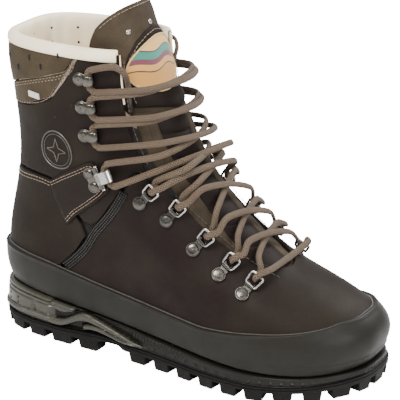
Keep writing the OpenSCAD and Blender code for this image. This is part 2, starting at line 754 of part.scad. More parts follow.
module speed_hook() {
    difference() {
        union() {
            hook_strip(-1, 7);
            translate([-5.5, 0, gap])
                linear_extrude(plate_t)
                    union() {
                        circle(d = 10, $fn = 32);
                        translate([0, -3.5])
                            square([6, 7]);
                    }
        }
        translate([-5.5, 0, -1])
            cylinder(d = 3.2, h = 4, $fn = 24);
    }
}
module speed_hooks(side) {
    color([0.35, 0.35, 0.35])
        placed()
            for (k = [0:2])
                on_frame(hook_frame(side, k))
                    speed_hook();
}
module speed_hooks_lateral() {
    speed_hooks(1);
}
module speed_hooks_medial() {
    speed_hooks(-1);
}

// riveted base of the locking hook with one knuckle at each end of its pin
module lock_base() {
    difference() {
        union() {
            translate([0, 0, gap])
                linear_extrude(plate_t)
                    union() {
                        translate([-1, -5])
                            circle(d = 9, $fn = 32);
                        translate([-1, 5])
                            circle(d = 9, $fn = 32);
                        translate([-4, -5])
                            square([8.4, 10]);
                        for (s = [-1, 1])
                            translate([0, s * 6.3 - 1.7])
                                square([7, 3.4]);
                    }
            for (s = [-1, 1])
                translate([7, s * 6.3, gap + 2])
                    rotate([90, 0, 0])
                        cylinder(d = 4, h = 3.4, $fn = 32, center = true);
        }
        for (s = [-1, 1])
            translate([-1, s * 5, -1])
                cylinder(d = 3.2, h = 4, $fn = 24);
        translate([7, 0, gap + 2])
            rotate([90, 0, 0])
                cylinder(d = 2.2, h = 30, $fn = 24, center = true);
    }
}
module lock_pin() {
    translate([7, 0, gap + 2])
        rotate([90, 0, 0])
            union() {
                cylinder(d = 1.6, h = 17, $fn = 24, center = true);
                for (s = [-1, 1])
                    translate([0, 0, s * 8.9])
                        cylinder(d = 3, h = 0.9, $fn = 24, center = true);
            }
}
// hook that swings on the pin, with the lace held in its mouth
module lock_hook() {
    difference() {
        union() {
            translate([7, 0, gap + 2])
                rotate([90, 0, 0])
                    cylinder(d = 4, h = 8.4, $fn = 32, center = true);
            translate([7, -4.2, gap + 0.6])
                cube([5, 8.4, 1.1]);
            translate([11.8, 0, 0.6])
                hook_strip(-1.8, 8.4);
        }
        translate([7, 0, gap + 2])
            rotate([90, 0, 0])
                cylinder(d = 2.2, h = 30, $fn = 24, center = true);
    }
}
module lock_base_lateral() {
    color([0.5, 0.5, 0.5])
        placed()
            on_frame(lock_frame(1))
                lock_base();
}
module lock_base_medial() {
    color([0.5, 0.5, 0.5])
        placed()
            on_frame(lock_frame(-1))
                lock_base();
}
module lock_pin_lateral() {
    color([0.6, 0.6, 0.6])
        placed()
            on_frame(lock_frame(1))
                lock_pin();
}
module lock_pin_medial() {
    color([0.6, 0.6, 0.6])
        placed()
            on_frame(lock_frame(-1))
                lock_pin();
}
module lock_hook_lateral() {
    color([0.75, 0.75, 0.76])
        placed()
            on_frame(lock_frame(1))
                lock_hook();
}
module lock_hook_medial() {
    color([0.75, 0.75, 0.76])
        placed()
            on_frame(lock_frame(-1))
                lock_hook();
}

module ring_clips(side) {
    color([0.4, 0.4, 0.4])
        placed()
            for (k = [0:4])
                on_frame(clip_frame(side, k))
                    ring_clip();
}
module ring_clips_lateral() {
    ring_clips(1);
}
module ring_clips_medial() {
    ring_clips(-1);
}

module rivets(side) {
    color([0.55, 0.55, 0.55])
        placed() {
            for (k = [0:4])
                on_frame(clip_frame(side, k))
                    rivet(rivet_d);
            for (k = [0:2])
                on_frame(hook_frame(side, k))
                    translate([-5.5, 0, 0])
                        rivet(rivet_d);
            on_frame(lock_frame(side))
                for (s = [-1, 1])
                    translate([-1, s * 5, 0])
                        rivet(7);
        }
}
module rivets_lateral() {
    rivets(1);
}
module rivets_medial() {
    rivets(-1);
}

module lace_ring_lateral_1() {
    lace_ring_at(1, 0);
}
module lace_ring_lateral_2() {
    lace_ring_at(1, 1);
}
module lace_ring_lateral_3() {
    lace_ring_at(1, 2);
}
module lace_ring_lateral_4() {
    lace_ring_at(1, 3);
}
module lace_ring_lateral_5() {
    lace_ring_at(1, 4);
}
module lace_ring_medial_1() {
    lace_ring_at(-1, 0);
}
module lace_ring_medial_2() {
    lace_ring_at(-1, 1);
}
module lace_ring_medial_3() {
    lace_ring_at(-1, 2);
}
module lace_ring_medial_4() {
    lace_ring_at(-1, 3);
}
module lace_ring_medial_5() {
    lace_ring_at(-1, 4);
}

// ================================================================================================
// lace
// ================================================================================================
// the nine lacing places of one side, top hook first; each gives the frame and the way through it
function place_frame(side, k) =
    k < 3 ? hook_frame(side, k)
    : k == 3 ? lock_frame(side)
    : clip_frame(side, k - 4);
// way of the lace through a place from its upper strand to its lower strand
wrap_r = ring_wire_d / 2 + lace_h / 2 + 0.8;
HOOK_WAY = [[9.5, 8.4, 5], [6, 7.6, 4.7], [3.8, 6.4, 4.3], [2.9, 4.4, 4.3], [2.8, 2, 4.3],
    [2.8, -2, 4.3], [2.9, -4.4, 4.3], [3.8, -6.4, 4.3], [6, -7.6, 4.7], [9.5, -8.4, 5]];
RING_WAY = [
    [ring_tip.x + 5.5, 3, ring_tip.z - 2.2],
    [ring_tip.x + 1, 1.4, ring_tip.z - wrap_r],
    [ring_tip.x - 0.71 * wrap_r - 0.3, 0.8, ring_tip.z - 0.75 * wrap_r],
    [ring_tip.x - wrap_r - 0.2, 0, ring_tip.z],
    [ring_tip.x - 0.71 * wrap_r - 0.3, -0.8, ring_tip.z + 0.75 * wrap_r],
    [ring_tip.x + 1, -1.4, ring_tip.z + wrap_r],
    [ring_tip.x + 5.5, -3, ring_tip.z + 2.6]
];
// the frames of the two sides are mirror images: on the inner side the second axis points down
function local_way(side, k) =
    let (
        way = k < 4 ? HOOK_WAY : RING_WAY,
        shift = k == 3 ? lock_bar_t + 0.8 : 0,
        lift = k == 3 ? 0.6 : 0
    )
    [for (q = way) [q[0] + shift, q[1] * side, q[2] + lift]];
function way_down(side, k) = [for (q = local_way(side, k)) in_frame(place_frame(side, k), q)];
function reversed(l) = [for (i = [len(l) - 1:-1:0]) l[i]];

// a strand runs over the tongue from place k down to place k + 1 on the other side, higher up in
// the middle than straight across, and lower where the tongue leans back; over is the upper one
// of a cross
CREST_V = [8.95, 8.2, 7.5, 7.1, 6.78, 6.28, 5.6, 5.0];
function strand_drop(v) = 4 * min(0.9, max(0, v - 7.9));
function arched(from, to, crest) = [
    for (t = [0.1, 0.26, 0.5, 0.74, 0.9])
        mix(from, to, t) + (crest - (from + to) / 2) * (4 * t * (1 - t)) ^ 0.4
];
function strand(side, k, over) =
    let (
        way = way_down(side, k),
        next_way = way_down(-side, k + 1),
        v = CREST_V[k],
        crest = skin(0, v, (over ? 7 : 3.1) - strand_drop(v))
    )
    arched(way[len(way) - 1], next_way[0], crest);
function bottom_bar() =
    let (way = way_down(1, 8), next_way = way_down(-1, 8))
    arched(way[len(way) - 1], next_way[len(next_way) - 1], skin(0, 4.42, 3.2));

function down_run(first_side, over) = [
    for (k = [0:8])
        let (side = k % 2 == 0 ? first_side : -first_side)
        for (p = concat(way_down(side, k), k < 8 ? strand(side, k, (k % 2 == 0) == over) : []))
            p
];
// loose end from the top hook in over the edge of the throat and down between tongue and quarter
function lace_end(side) = [
    for (q = [[2.56, 8.62, -4.3], [2.56, 8.85, -4.1], [2.58, 9.12, -1.6], [2.64, 9.38, 1.5],
        [2.84, 9.6, 3.9], [3.08, 9.6, 4.9]])
        skin(side > 0 ? q[0] : 16 - q[0], q[1], q[2])
];
LACE_PATH = concat(
    lace_end(1), down_run(1, true),
    bottom_bar(),
    reversed(down_run(-1, false)), reversed(lace_end(-1))
);
function lace_side(i) =
    let (
        n = len(LACE_PATH),
        t = unit(LACE_PATH[min(i + 1, n - 1)] - LACE_PATH[max(i - 1, 0)]),
        out = unit(LACE_PATH[i] - [LACE_PATH[i].x - 60, 0, LACE_PATH[i].z - 40])
    )
    cross(t, out);

module boot_lace() {
    color([0.49, 0.42, 0.36])
        placed()
            cord(LACE_PATH, [for (i = [0:len(LACE_PATH) - 1]) lace_side(i)], lace_w, lace_h);
}
module lace_aglets() {
    color([0.25, 0.22, 0.2])
        placed()
            for (side = [-1, 1]) {
                e = lace_end(side);
                d = unit(e[0] - e[1]);
                t = unit(cross(d, [0, 1, 0]));
                on_frame([e[0] + d * 0.4, t, cross(d, t), d])
                    cylinder(d = 3.4, h = 12, $fn = 24);
            }
}

outsole();
midsole();
stabilizer_lateral();
stabilizer_medial();
shank();
insole_board();
footbed();
rand();
vamp();
heel_panel();
quarter_lateral();
quarter_medial();
collar_panel_lower();
collar_panel_upper();
ankle_strap_lateral();
ankle_strap_medial();
side_tag();
heel_counter();
toe_puff();
bootie_lining();
collar_lining();
gusset_lateral();
gusset_medial();
tongue();
tongue_cover();
tongue_top();
tongue_top_cover();
tongue_label();
tongue_studs();
speed_hooks_lateral();
speed_hooks_medial();
lock_base_lateral();
lock_base_medial();
lock_pin_lateral();
lock_pin_medial();
lock_hook_lateral();
lock_hook_medial();
ring_clips_lateral();
ring_clips_medial();
rivets_lateral();
rivets_medial();
lace_ring_lateral_1();
lace_ring_lateral_2();
lace_ring_lateral_3();
lace_ring_lateral_4();
lace_ring_lateral_5();
lace_ring_medial_1();
lace_ring_medial_2();
lace_ring_medial_3();
lace_ring_medial_4();
lace_ring_medial_5();
boot_lace();
lace_aglets();
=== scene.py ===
"""Looks of a mountaineering boot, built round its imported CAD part.

Shapes are worked out in millimetres in the part's own frame and handed to Blender in metres in
the row frame. A place on the upper is (u, v): u runs once round the boot in sixteen steps, with
0 at the toe or shin, 1 to 7 on the outer side, 8 at the heel and 9 to 15 on the inner side; v
counts the rings of the surface from the feather line (0) up to the collar (10). A side is 1 for
the outer and -1 for the inner one.
"""

import json
import math

import bpy
import numpy as np
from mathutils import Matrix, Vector
from mathutils.kdtree import KDTree


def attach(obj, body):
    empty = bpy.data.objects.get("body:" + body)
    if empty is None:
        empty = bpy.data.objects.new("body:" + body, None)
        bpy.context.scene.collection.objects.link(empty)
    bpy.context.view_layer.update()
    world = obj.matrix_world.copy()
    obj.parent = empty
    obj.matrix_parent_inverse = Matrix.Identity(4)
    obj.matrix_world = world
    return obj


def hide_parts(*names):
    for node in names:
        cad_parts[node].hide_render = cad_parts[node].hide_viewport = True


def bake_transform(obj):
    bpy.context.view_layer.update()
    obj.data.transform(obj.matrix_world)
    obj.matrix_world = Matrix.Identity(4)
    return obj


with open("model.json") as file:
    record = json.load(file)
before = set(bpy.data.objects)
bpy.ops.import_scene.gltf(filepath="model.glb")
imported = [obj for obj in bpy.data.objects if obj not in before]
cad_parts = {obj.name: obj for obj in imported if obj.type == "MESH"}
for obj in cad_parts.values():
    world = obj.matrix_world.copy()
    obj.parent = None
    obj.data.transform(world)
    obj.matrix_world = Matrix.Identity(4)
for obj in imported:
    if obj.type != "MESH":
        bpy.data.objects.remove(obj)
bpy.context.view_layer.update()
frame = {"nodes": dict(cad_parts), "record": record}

# the place in the part's own frame, in mm, that the row frame takes as its origin
MIDDLE = np.array([148.5, 0.8, 0.0])
SIDES = (1, -1)
SIDE_NAMES = {1: "lateral", -1: "medial"}
# thin space left between pieces that lie on each other
GAP = 0.3
RANDOM = np.random.default_rng(7)

# ======== camera, light and floor ========
AZIMUTH = math.radians(30)
ELEVATION = math.radians(21.5)
DISTANCE = 1.4
TARGET = Vector((0.0015, -0.0008, 0.105))
# width in metres that the picture takes in at the target, and the sensor in mm
FIELD = 400 / 1385
SENSOR = 36
LENS_SHIFT = (0.02, 0.0425)


def place_in_scene(name, data):
    """An object of the scene that shows the data."""
    item = bpy.data.objects.new(name, data)
    bpy.context.scene.collection.objects.link(item)
    return item


def place_camera():
    """Puts the camera at the height and side from which the boot is pictured."""
    camera = place_in_scene("camera", bpy.data.cameras.new("camera"))
    back = Vector((
        math.sin(AZIMUTH) * math.cos(ELEVATION),
        -math.cos(AZIMUTH) * math.cos(ELEVATION),
        math.sin(ELEVATION),
    ))
    camera.location = TARGET + back * DISTANCE
    camera.rotation_euler = (-back).to_track_quat("-Z", "Y").to_euler()
    camera.data.sensor_width = SENSOR
    camera.data.lens = SENSOR * DISTANCE / FIELD
    camera.data.shift_x, camera.data.shift_y = LENS_SHIFT
    camera.data.clip_start = 0.05
    camera.data.clip_end = 20
    bpy.context.scene.camera = camera


def soft_light(name, place, aim, size, power, colour=(1, 1, 1)):
    """A square soft box that faces a point."""
    data = bpy.data.lights.new(name, "AREA")
    data.shape = "SQUARE"
    data.size = size
    data.energy = power
    data.color = colour
    lamp = place_in_scene(name, data)
    lamp.location = place
    lamp.rotation_euler = (Vector(aim) - Vector(place)).to_track_quat("-Z", "Y").to_euler()


# how bright the backdrop and the floor look to the camera alone; they light nothing
BACKDROP = 16.0
FLOOR_GLOW = 15.0
# the surroundings brighten with height: from and to which height, and how bright at both
SKY = (-0.1, 0.9, 0.35, 1.7)


def light_room():
    """Soft surroundings, brighter above, in front of a white backdrop, and three soft boxes."""
    world = bpy.data.worlds.new("studio")
    bpy.context.scene.world = world
    world.use_nodes = True
    nodes, links = world.node_tree.nodes, world.node_tree.links
    around = nodes["Background"]
    around.inputs["Color"].default_value = (1, 1, 1, 1)
    place = nodes.new("ShaderNodeTexCoord")
    parts = nodes.new("ShaderNodeSeparateXYZ")
    fall = nodes.new("ShaderNodeMapRange")
    for k, number in enumerate(SKY):
        fall.inputs[k + 1].default_value = number
    links.new(place.outputs["Generated"], parts.inputs[0])
    links.new(parts.outputs[2], fall.inputs[0])
    links.new(fall.outputs[0], around.inputs["Strength"])
    backdrop = nodes.new("ShaderNodeBackground")
    backdrop.inputs["Strength"].default_value = BACKDROP
    ray = nodes.new("ShaderNodeLightPath")
    choice = nodes.new("ShaderNodeMixShader")
    links.new(ray.outputs["Is Camera Ray"], choice.inputs[0])
    links.new(around.outputs[0], choice.inputs[1])
    links.new(backdrop.outputs[0], choice.inputs[2])
    links.new(choice.outputs[0], nodes["World Output"].inputs["Surface"])
    soft_light("key", (-0.1, -1.0, 1.3), (0, 0, 0.1), 0.6, 25, (1, 0.97, 0.92))
    soft_light("fill", (1.2, -0.7, 0.7), (0.05, 0, 0.08), 0.5, 12)
    soft_light("back", (0.5, 1.0, 1.1), (0, 0, 0.12), 0.5, 16)


# ======== the surface of the upper ========
# each ring: rear x, z, front x, z, dip under the ball, middle y at the front,
# then the half widths from the rear to the front on the outer side and on the inner side
RINGS = [
    [4, 38, 292, 27, 68, 5, [24, 36, 36, 43, 57, 45, 17], [24, 35, 33, 38, 49, 44, 19]],
    [0, 50, 298, 38, 60, 5, [26, 39, 39, 46, 59, 47, 19], [26, 38, 37, 42, 52, 46, 21]],
    [-1, 66, 299, 51, 50, 5, [26, 39, 40, 47, 57, 45, 18], [26, 39, 39, 45, 51, 44, 20]],
    [1, 86, 281, 65, 24, 4, [25, 38, 41, 47, 51, 39, 14], [25, 38, 41, 45, 46, 38, 16]],
    [6, 106, 240, 77, 6, 3, [24, 36, 40, 45, 45, 33, 12], [24, 36, 40, 44, 44, 32, 13]],
    [10, 124, 207, 99, 0, 1, [23, 35, 40, 44, 40, 28, 11], [23, 35, 40, 43, 40, 28, 11]],
    [13, 142, 182, 124, 0, 0, [23, 35, 41, 44, 39, 26, 11], [23, 35, 41, 44, 39, 26, 11]],
    [13, 164, 159, 151, 0, 0, [23, 36, 42, 44, 39, 26, 11], [23, 36, 42, 44, 39, 26, 11]],
    [11, 190, 144, 182, 0, 0, [24, 37, 43, 44, 40, 27, 12], [24, 37, 43, 44, 40, 27, 12]],
    [9, 214, 141, 211, 0, 0, [25, 38, 43, 44, 40, 28, 12], [25, 38, 43, 44, 40, 28, 12]],
    [9, 230, 140, 230, 0, 0, [25, 38, 43, 44, 40, 28, 12], [25, 38, 43, 44, 40, 28, 12]],
]
TOP = len(RINGS) - 1
# where the half widths are measured, from the rear (0) to the front (1)
STATIONS = [0, 0.13, 0.33, 0.55, 0.75, 0.92, 1]


def ring_points(ring):
    """The sixteen control points of one ring."""
    rear_x, rear_z, front_x, front_z, dip, middle, outer, inner = ring

    def point(f, y):
        return [
            rear_x + (front_x - rear_x) * f,
            y,
            rear_z + (front_z - rear_z) * f - dip * f * f * (1 - f),
        ]

    front = [point(1, middle)]
    outside = [point(STATIONS[k], middle * STATIONS[k] - outer[k]) for k in range(6, -1, -1)]
    inside = [point(STATIONS[k], middle * STATIONS[k] + inner[k]) for k in range(7)]
    return front + outside + [point(0, 0)] + inside


RAW_NET = np.array([ring_points(r) for r in RINGS])
NET = np.concatenate([
    [2 * RAW_NET[0] - RAW_NET[1]],
    RAW_NET,
    [2 * RAW_NET[TOP] - RAW_NET[TOP - 1]],
])


def unit(a):
    """Vectors made one long."""
    return a / np.maximum(np.linalg.norm(a, axis=-1, keepdims=True), 1e-12)


def mix(a, b, t):
    """The value t of the way from a to b."""
    return a + (b - a) * t


def angles_round(count):
    """Angles of that many points evenly round a circle."""
    return np.arange(count) * 2 * math.pi / count


def fold(u):
    """Distance from the front seam line, the same for both sides of the boot."""
    w = np.mod(u, 16)
    return np.minimum(w, 16 - w)


def on_side(side, u):
    """u counted on the outer side, carried over to the side asked for."""
    return u if side > 0 else 16 - u


def weights(t):
    """The four weights of a cubic B-spline at t."""
    return np.stack([
        (1 - t) ** 3,
        3 * t**3 - 6 * t**2 + 4,
        -3 * t**3 + 3 * t**2 + 3 * t + 1,
        t**3,
    ], -1) / 6


def weight_slopes(t):
    """How fast those four weights change."""
    return np.stack([-((1 - t) ** 2), 3 * t**2 - 4 * t, -3 * t**2 + 2 * t + 1, t**2], -1) / 2


def surface(u, v):
    """Points of the upper and its outward normals; above the collar it runs on straight."""
    u, v = np.broadcast_arrays(np.asarray(u, float), np.asarray(v, float))
    w = np.mod(u, 16)
    iu = np.floor(w).astype(int)
    vc = np.clip(v, 0, TOP)
    iv = np.minimum(np.floor(vc).astype(int), TOP - 1)
    corners = np.stack(
        [np.stack([NET[iv + a, (iu + b + 15) % 16] for b in range(4)], -2) for a in range(4)], -3
    )

    def blend(across, along):
        return np.einsum("...a,...b,...abc->...c", along, across, corners)

    wu, wv = weights(w - iu), weights(vc - iv)
    slope_v = blend(wu, weight_slopes(vc - iv))
    slope_u = blend(weight_slopes(w - iu), wv)
    point = blend(wu, wv) + (v - vc)[..., None] * slope_v
    return point, unit(np.cross(slope_v, slope_u))


def skin(u, v, d=0.0):
    """Points of the upper moved outwards by d."""
    point, normal = surface(u, v)
    return point + normal * np.asarray(d, float)[..., None]


def outline(u, d):
    """Points of the feather line moved outwards on the level by d."""
    point, normal = surface(u, 0.0)
    level = normal.copy()
    level[..., 2] = 0
    return point + unit(level) * np.asarray(d, float)[..., None]


# shifts and weights of the readings that soften the corners of a table
SMOOTHING = ((-0.12, 1), (-0.06, 2), (0, 3), (0.06, 2), (0.12, 1))


def lookup(x, table):
    """A height read from a table of (distance from the front, height), corners softened."""
    xs, ys = zip(*table)
    total = sum(weight for _, weight in SMOOTHING)
    return sum(np.interp(x + shift, xs, ys) * weight for shift, weight in SMOOTHING) / total


# ---- edges of the panels, as in the CAD part: distance from the front, and height ----
RAND_TOP = [(0, 2.58), (1.33, 2.53), (2.18, 2.25), (2.85, 2.02), (3.65, 1.62), (4.42, 1.7),
            (5.05, 1.78), (5.83, 1.98), (8, 2.02)]
FLOOR = [(0, 0), (8, 0)]
VAMP_TOP = [(0, 4.3), (0.7, 4.34), (1.25, 4.44), (1.65, 4.6), (1.95, 4.85), (2.2, 5.5), (2.5, 6.2),
            (2.75, 6.55), (3.1, 6.6), (3.58, 6.1), (4.2, 5.2), (4.8, 4.15), (5.2, 3.1),
            (5.58, 1.98), (5.9, 0.8), (6, 0.4)]
QUARTER_LOW = [(2.74, 6.72), (3.1, 6.72), (3.58, 6.24), (4.2, 5.34), (4.8, 4.3), (5.02, 4.2),
               (5.3, 5.4), (5.48, 5.6), (6.68, 5.42), (8, 5.36)]
QUARTER_TOP = [(2.74, 10), (3.8, 10), (4, 9.6), (4.35, 8.85), (4.9, 8.15), (5.73, 7.78),
               (6.8, 7.6), (8, 7.55)]
COLLAR_LOW = [(3.92, 9.9), (4.06, 9.62), (4.41, 8.88), (4.94, 8.2), (5.73, 7.84), (6.8, 7.66),
              (8, 7.61)]
COLLAR_SPLIT = [(3.92, 9.95), (4.06, 9.66), (4.33, 9.1), (5.15, 8.72), (6.78, 8.15), (8, 8.05)]
COLLAR_TOP = [(2, 10), (8, 10)]
HEEL_LOW = [(5.08, 3.75), (5.32, 2.98), (5.68, 1.98), (5.99, 0.8), (6.1, 0), (8, 0)]
HEEL_TOP = [(5.08, 4.0), (5.34, 5.2), (5.5, 5.48), (6.68, 5.3), (8, 5.24)]
STRAP_UP = [(5.55, 5.45), (5.1, 5.95), (4.6, 6.4), (4.15, 6.7), (3.98, 6.55), (3.9, 6.3)]
STRAP_LOW = [(5.35, 3.9), (5.05, 4.5), (4.6, 5.15), (4.25, 5.6), (4.0, 5.9), (3.9, 6.1)]

# thicknesses, and how far inside the upper the face of the tongue lies
LEATHER_T = 2.2
RAND_T = 1.9
STRAP_T = 1.8
BOOTIE_T = 1.3
TONGUE_OUT = -2.8
TONGUE_T = 4.0


# ======== mesh building ========
def to_row(points):
    """Millimetres of the part's own frame to metres of the row frame."""
    return (np.asarray(points, float) - MIDDLE) / 1000


def make_object(name, points, faces, material, smooth_angle=45, uv=None):
    """A mesh piece from points in millimetres and lists of faces."""
    points = np.asarray(points, float).reshape(-1, 3)
    mesh = bpy.data.meshes.new(name)
    mesh.from_pydata(to_row(points).tolist(), [], faces)
    mesh.validate()
    if uv is not None:
        layer = mesh.uv_layers.new(name="UVMap")
        index = np.zeros(len(mesh.loops), np.int32)
        mesh.loops.foreach_get("vertex_index", index)
        layer.data.foreach_set("uv", np.asarray(uv, np.float32).reshape(-1, 2)[index].ravel())
    mesh.shade_smooth()
    mesh.set_sharp_from_angle(angle=math.radians(smooth_angle))
    mesh.materials.append(material)
    return place_in_scene(name, mesh)


def facing_out(points, faces):
    """The faces of a closed mesh, all turned over if its quads look inwards."""
    quads = np.array([face for face in faces if len(face) == 4])
    about = points - points.mean(0)
    a, b, c, d = (about[quads[:, k]] for k in range(4))
    volume = np.einsum("ij,ij->i", a, np.cross(b, c)).sum()
    volume += np.einsum("ij,ij->i", a, np.cross(c, d)).sum()
    return faces if volume > 0 else [face[::-1] for face in faces]


def grid_quads(rows, columns, wrap_rows=False, wrap_columns=False):
    """Quads of a grid of points stored row by row, closed round either way if asked."""
    i, j = np.meshgrid(
        np.arange(rows if wrap_rows else rows - 1),
        np.arange(columns if wrap_columns else columns - 1),
        indexing="ij",
    )
    i, j = i.ravel(), j.ravel()
    i1, j1 = (i + 1) % rows, (j + 1) % columns
    return np.stack([i * columns + j, i1 * columns + j, i1 * columns + j1, i * columns + j1], -1)


def border(rows, columns):
    """Indices of the points round the edge of a grid, in order."""
    top = [(0, j) for j in range(columns)]
    right = [(i, columns - 1) for i in range(1, rows)]
    bottom = [(rows - 1, j) for j in range(columns - 2, -1, -1)]
    left = [(i, 0) for i in range(rows - 2, 0, -1)]
    return np.array([i * columns + j for i, j in top + right + bottom + left])


def stack_faces(rows, sides):
    """Faces of a stack of closed loops, with one flat face over each end."""
    faces = grid_quads(rows, sides, wrap_columns=True).tolist()
    faces.append(list(range(sides)))
    faces.append([rows * sides - 1 - k for k in range(sides)])
    return faces


def sheet_solid(top, bottom, wrap=False):
    """Points and faces of the solid between two grids; wrap joins the last row to the first."""
    rows, columns = top.shape[:2]
    count = rows * columns
    points = np.concatenate([top.reshape(-1, 3), bottom.reshape(-1, 3)])
    front = grid_quads(rows, columns, wrap_rows=wrap)
    if wrap:
        low = np.arange(rows) * columns
        after = np.roll(low, -1)
        edges = [(after, low), (low + columns - 1, after + columns - 1)]
    else:
        ring = border(rows, columns)
        edges = [(ring, np.roll(ring, -1))]
    walls = [np.stack([a, b, b + count, a + count], -1) for a, b in edges]
    faces = np.concatenate([front, front[:, ::-1] + count] + walls).tolist()
    return points, facing_out(points, faces)


def shell(name, outer, inner, material, wrap=False):
    """A piece between two grids of points."""
    return make_object(name, *sheet_solid(outer, inner, wrap), material)


def stops(length, step):
    """Places from 0 to 1 along a length in mm, closer together near both ends."""
    near = np.array([0, 0.12, 0.35, 0.7, 1.2]) / length
    near = near[near < 0.3]
    count = max(2, round((length - 2.4) / step))
    middle = np.linspace(near[-1], 1 - near[-1], count + 1)
    return np.concatenate([near[:-1], middle, (1 - near[:-1])[::-1]])


def places_between(u, t, low, high):
    """Grid of (u, v) places: each u, and heights t of the way between two tables."""
    bottom, top = lookup(fold(u), low), lookup(fold(u), high)
    return np.repeat(u[:, None], len(t), 1), bottom[:, None] + (top - bottom)[:, None] * t


def panel_places(u0, u1, low, high, step, width, height):
    """Grid of (u, v) places from u0 to u1 between two tables, about step mm apart."""
    return places_between(mix(u0, u1, stops(width, step)), stops(height, step), low, high)


def edge_distance(points, wrap=False):
    """Distance of each point of a grid from the grid's border."""
    rows, columns = points.shape[:2]
    loops = [points[:, 0], points[:, -1]] if wrap \
        else [points.reshape(-1, 3)[border(rows, columns)]]
    samples = []
    for loop in loops:
        for a, b in zip(loop, np.roll(loop, -1, 0)):
            n = max(1, int(np.linalg.norm(b - a) / 0.4))
            samples.append(a + (b - a) * (np.arange(n) / n)[:, None])
    return distance_to(points, np.concatenate(samples))


def distance_to(points, targets):
    """Distance of each point of a grid from the nearest of some targets."""
    tree = KDTree(len(targets))
    for i, p in enumerate(targets):
        tree.insert(p, i)
    tree.balance()
    return np.array([tree.find(p)[2] for p in points.reshape(-1, 3)]).reshape(points.shape[:2])


def rounded_drop(distance, radius):
    """How far a rounded edge falls below the face at a distance from the edge."""
    return radius - np.sqrt(np.maximum(radius**2 - (radius - np.minimum(distance, radius)) ** 2, 0))


# how deep and how wide a row of stitches presses the leather in
STITCH_PRESS = (0.35, 0.9)


def pressed(points, lines, depth, width):
    """How far a face is pressed in by rows of stitches along lines of points."""
    if not lines:
        return 0.0
    return depth * np.exp(-((distance_to(points, np.concatenate(lines)) / width) ** 2))


def leather_panel(name, places, material, outer=0.0, inner=-LEATHER_T, radius=0.8, wrap=False,
                  rows=(), relief=None):
    """A leather piece with rounded edges that is pressed in along its rows of stitches."""
    u, v = places
    base = skin(u, v, outer)
    height = outer - rounded_drop(edge_distance(base, wrap), radius)
    height = height - pressed(base, [line for line, _ in rows], *STITCH_PRESS)
    if relief is not None:
        height = height + relief(u, v)
    return shell(name, skin(u, v, height), skin(u, v, inner), material, wrap)


# ---- lines, tubes and stitches ----
def smooth_line(points, per_span=8):
    """Catmull-Rom curve through points, with per_span steps from each to the next."""
    p = np.asarray(points, float)
    p = np.concatenate([[2 * p[0] - p[1]], p, [2 * p[-1] - p[-2]]])
    t = (np.arange(per_span) / per_span)[:, None]
    spans = [
        0.5 * (2 * b + (c - a) * t + (2 * a - 5 * b + 4 * c - d) * t**2
               + (3 * b - a - 3 * c + d) * t**3)
        for a, b, c, d in zip(p[:-3], p[1:-2], p[2:-1], p[3:])
    ]
    return np.concatenate(spans + [p[-2:-1]])


def distance_along(line):
    """Distance of each point of a line from its start, along the line."""
    return np.concatenate([[0], np.cumsum(np.linalg.norm(np.diff(line, axis=0), axis=1))])


def read_at(at, along, values):
    """Rows of values, known at distances along a line, read at other distances."""
    return np.stack([np.interp(at, along, column) for column in values.T], -1)


def resample(points, step):
    """Points along a line at even distances of about step; also returns those distances."""
    along = distance_along(points)
    at = np.linspace(0, along[-1], max(2, round(along[-1] / step)) + 1)
    return read_at(at, along, points), at


def resample_both(line, normal, step):
    """A line and its normals at even distances of about step."""
    points, _ = resample(np.concatenate([line, normal], -1), step)
    return points[:, :3], unit(points[:, 3:])


def tangents(points):
    """Direction of a line at each of its points."""
    return unit(np.gradient(points, axis=0))


def surface_line(side, places, lift=0.0, shift=0.0, per_span=10, position=skin):
    """Line on the upper through (u, v) places, moved sideways on the surface by shift."""
    uv = smooth_line(places, per_span)
    u = on_side(side, uv[:, 0])
    line = position(u, uv[:, 1], lift)
    normal = unit(position(u, uv[:, 1], lift + 1.0) - line)
    across = unit(np.cross(normal, tangents(line))) * side
    return line + across * shift, normal


def tube(line, radii, sides, wide, aspect=1.0, closed=False):
    """Rings of points of a tube along a line; wide gives its wide direction at each point."""
    ahead = unit(np.roll(line, -1, 0) - np.roll(line, 1, 0)) if closed else tangents(line)
    a = unit(wide - ahead * np.sum(wide * ahead, -1, keepdims=True))
    b = np.cross(ahead, a)
    angle = angles_round(sides)
    ring = (a[:, None] * np.cos(angle)[None, :, None]
            + b[:, None] * np.sin(angle)[None, :, None] * aspect)
    radii = np.asarray(radii, float)
    return line[:, None] + ring * (radii if radii.ndim == 2 else radii.reshape(-1, 1))[..., None]


class Heap:
    """Many small solids gathered into one piece."""

    def __init__(self):
        self.points = []
        self.faces = []
        self.count = 0

    def add(self, points, faces):
        points = np.asarray(points, float).reshape(-1, 3)
        self.points.append(points)
        self.faces.extend([[i + self.count for i in face] for face in faces])
        self.count += len(points)

    def add_tube(self, line, radius, sides=8, wide=(0, 0, 1.0), aspect=1.0, closed=False):
        """A tube along a line; closed joins its end to its start."""
        rings = tube(np.asarray(line, float), radius, sides, np.array(wide), aspect, closed)
        self.add(rings, grid_quads(len(line), sides, True, True).tolist() if closed
                 else stack_faces(len(line), sides))

    def piece(self, name, material, smooth_angle=45):
        return make_object(name, np.concatenate(self.points), self.faces, material, smooth_angle)


# a stitch: places along it, heights over the leather there, and how thick it is there
STITCH_STATIONS = np.array([-0.5, -0.42, -0.22, 0, 0.22, 0.42, 0.5])
STITCH_HEIGHTS = np.array([-0.6, 0.05, 0.25, 0.3, 0.25, 0.05, -0.6])
STITCH_RADII = np.array([0.5, 0.95, 1.05, 1.05, 1.05, 0.95, 0.5])


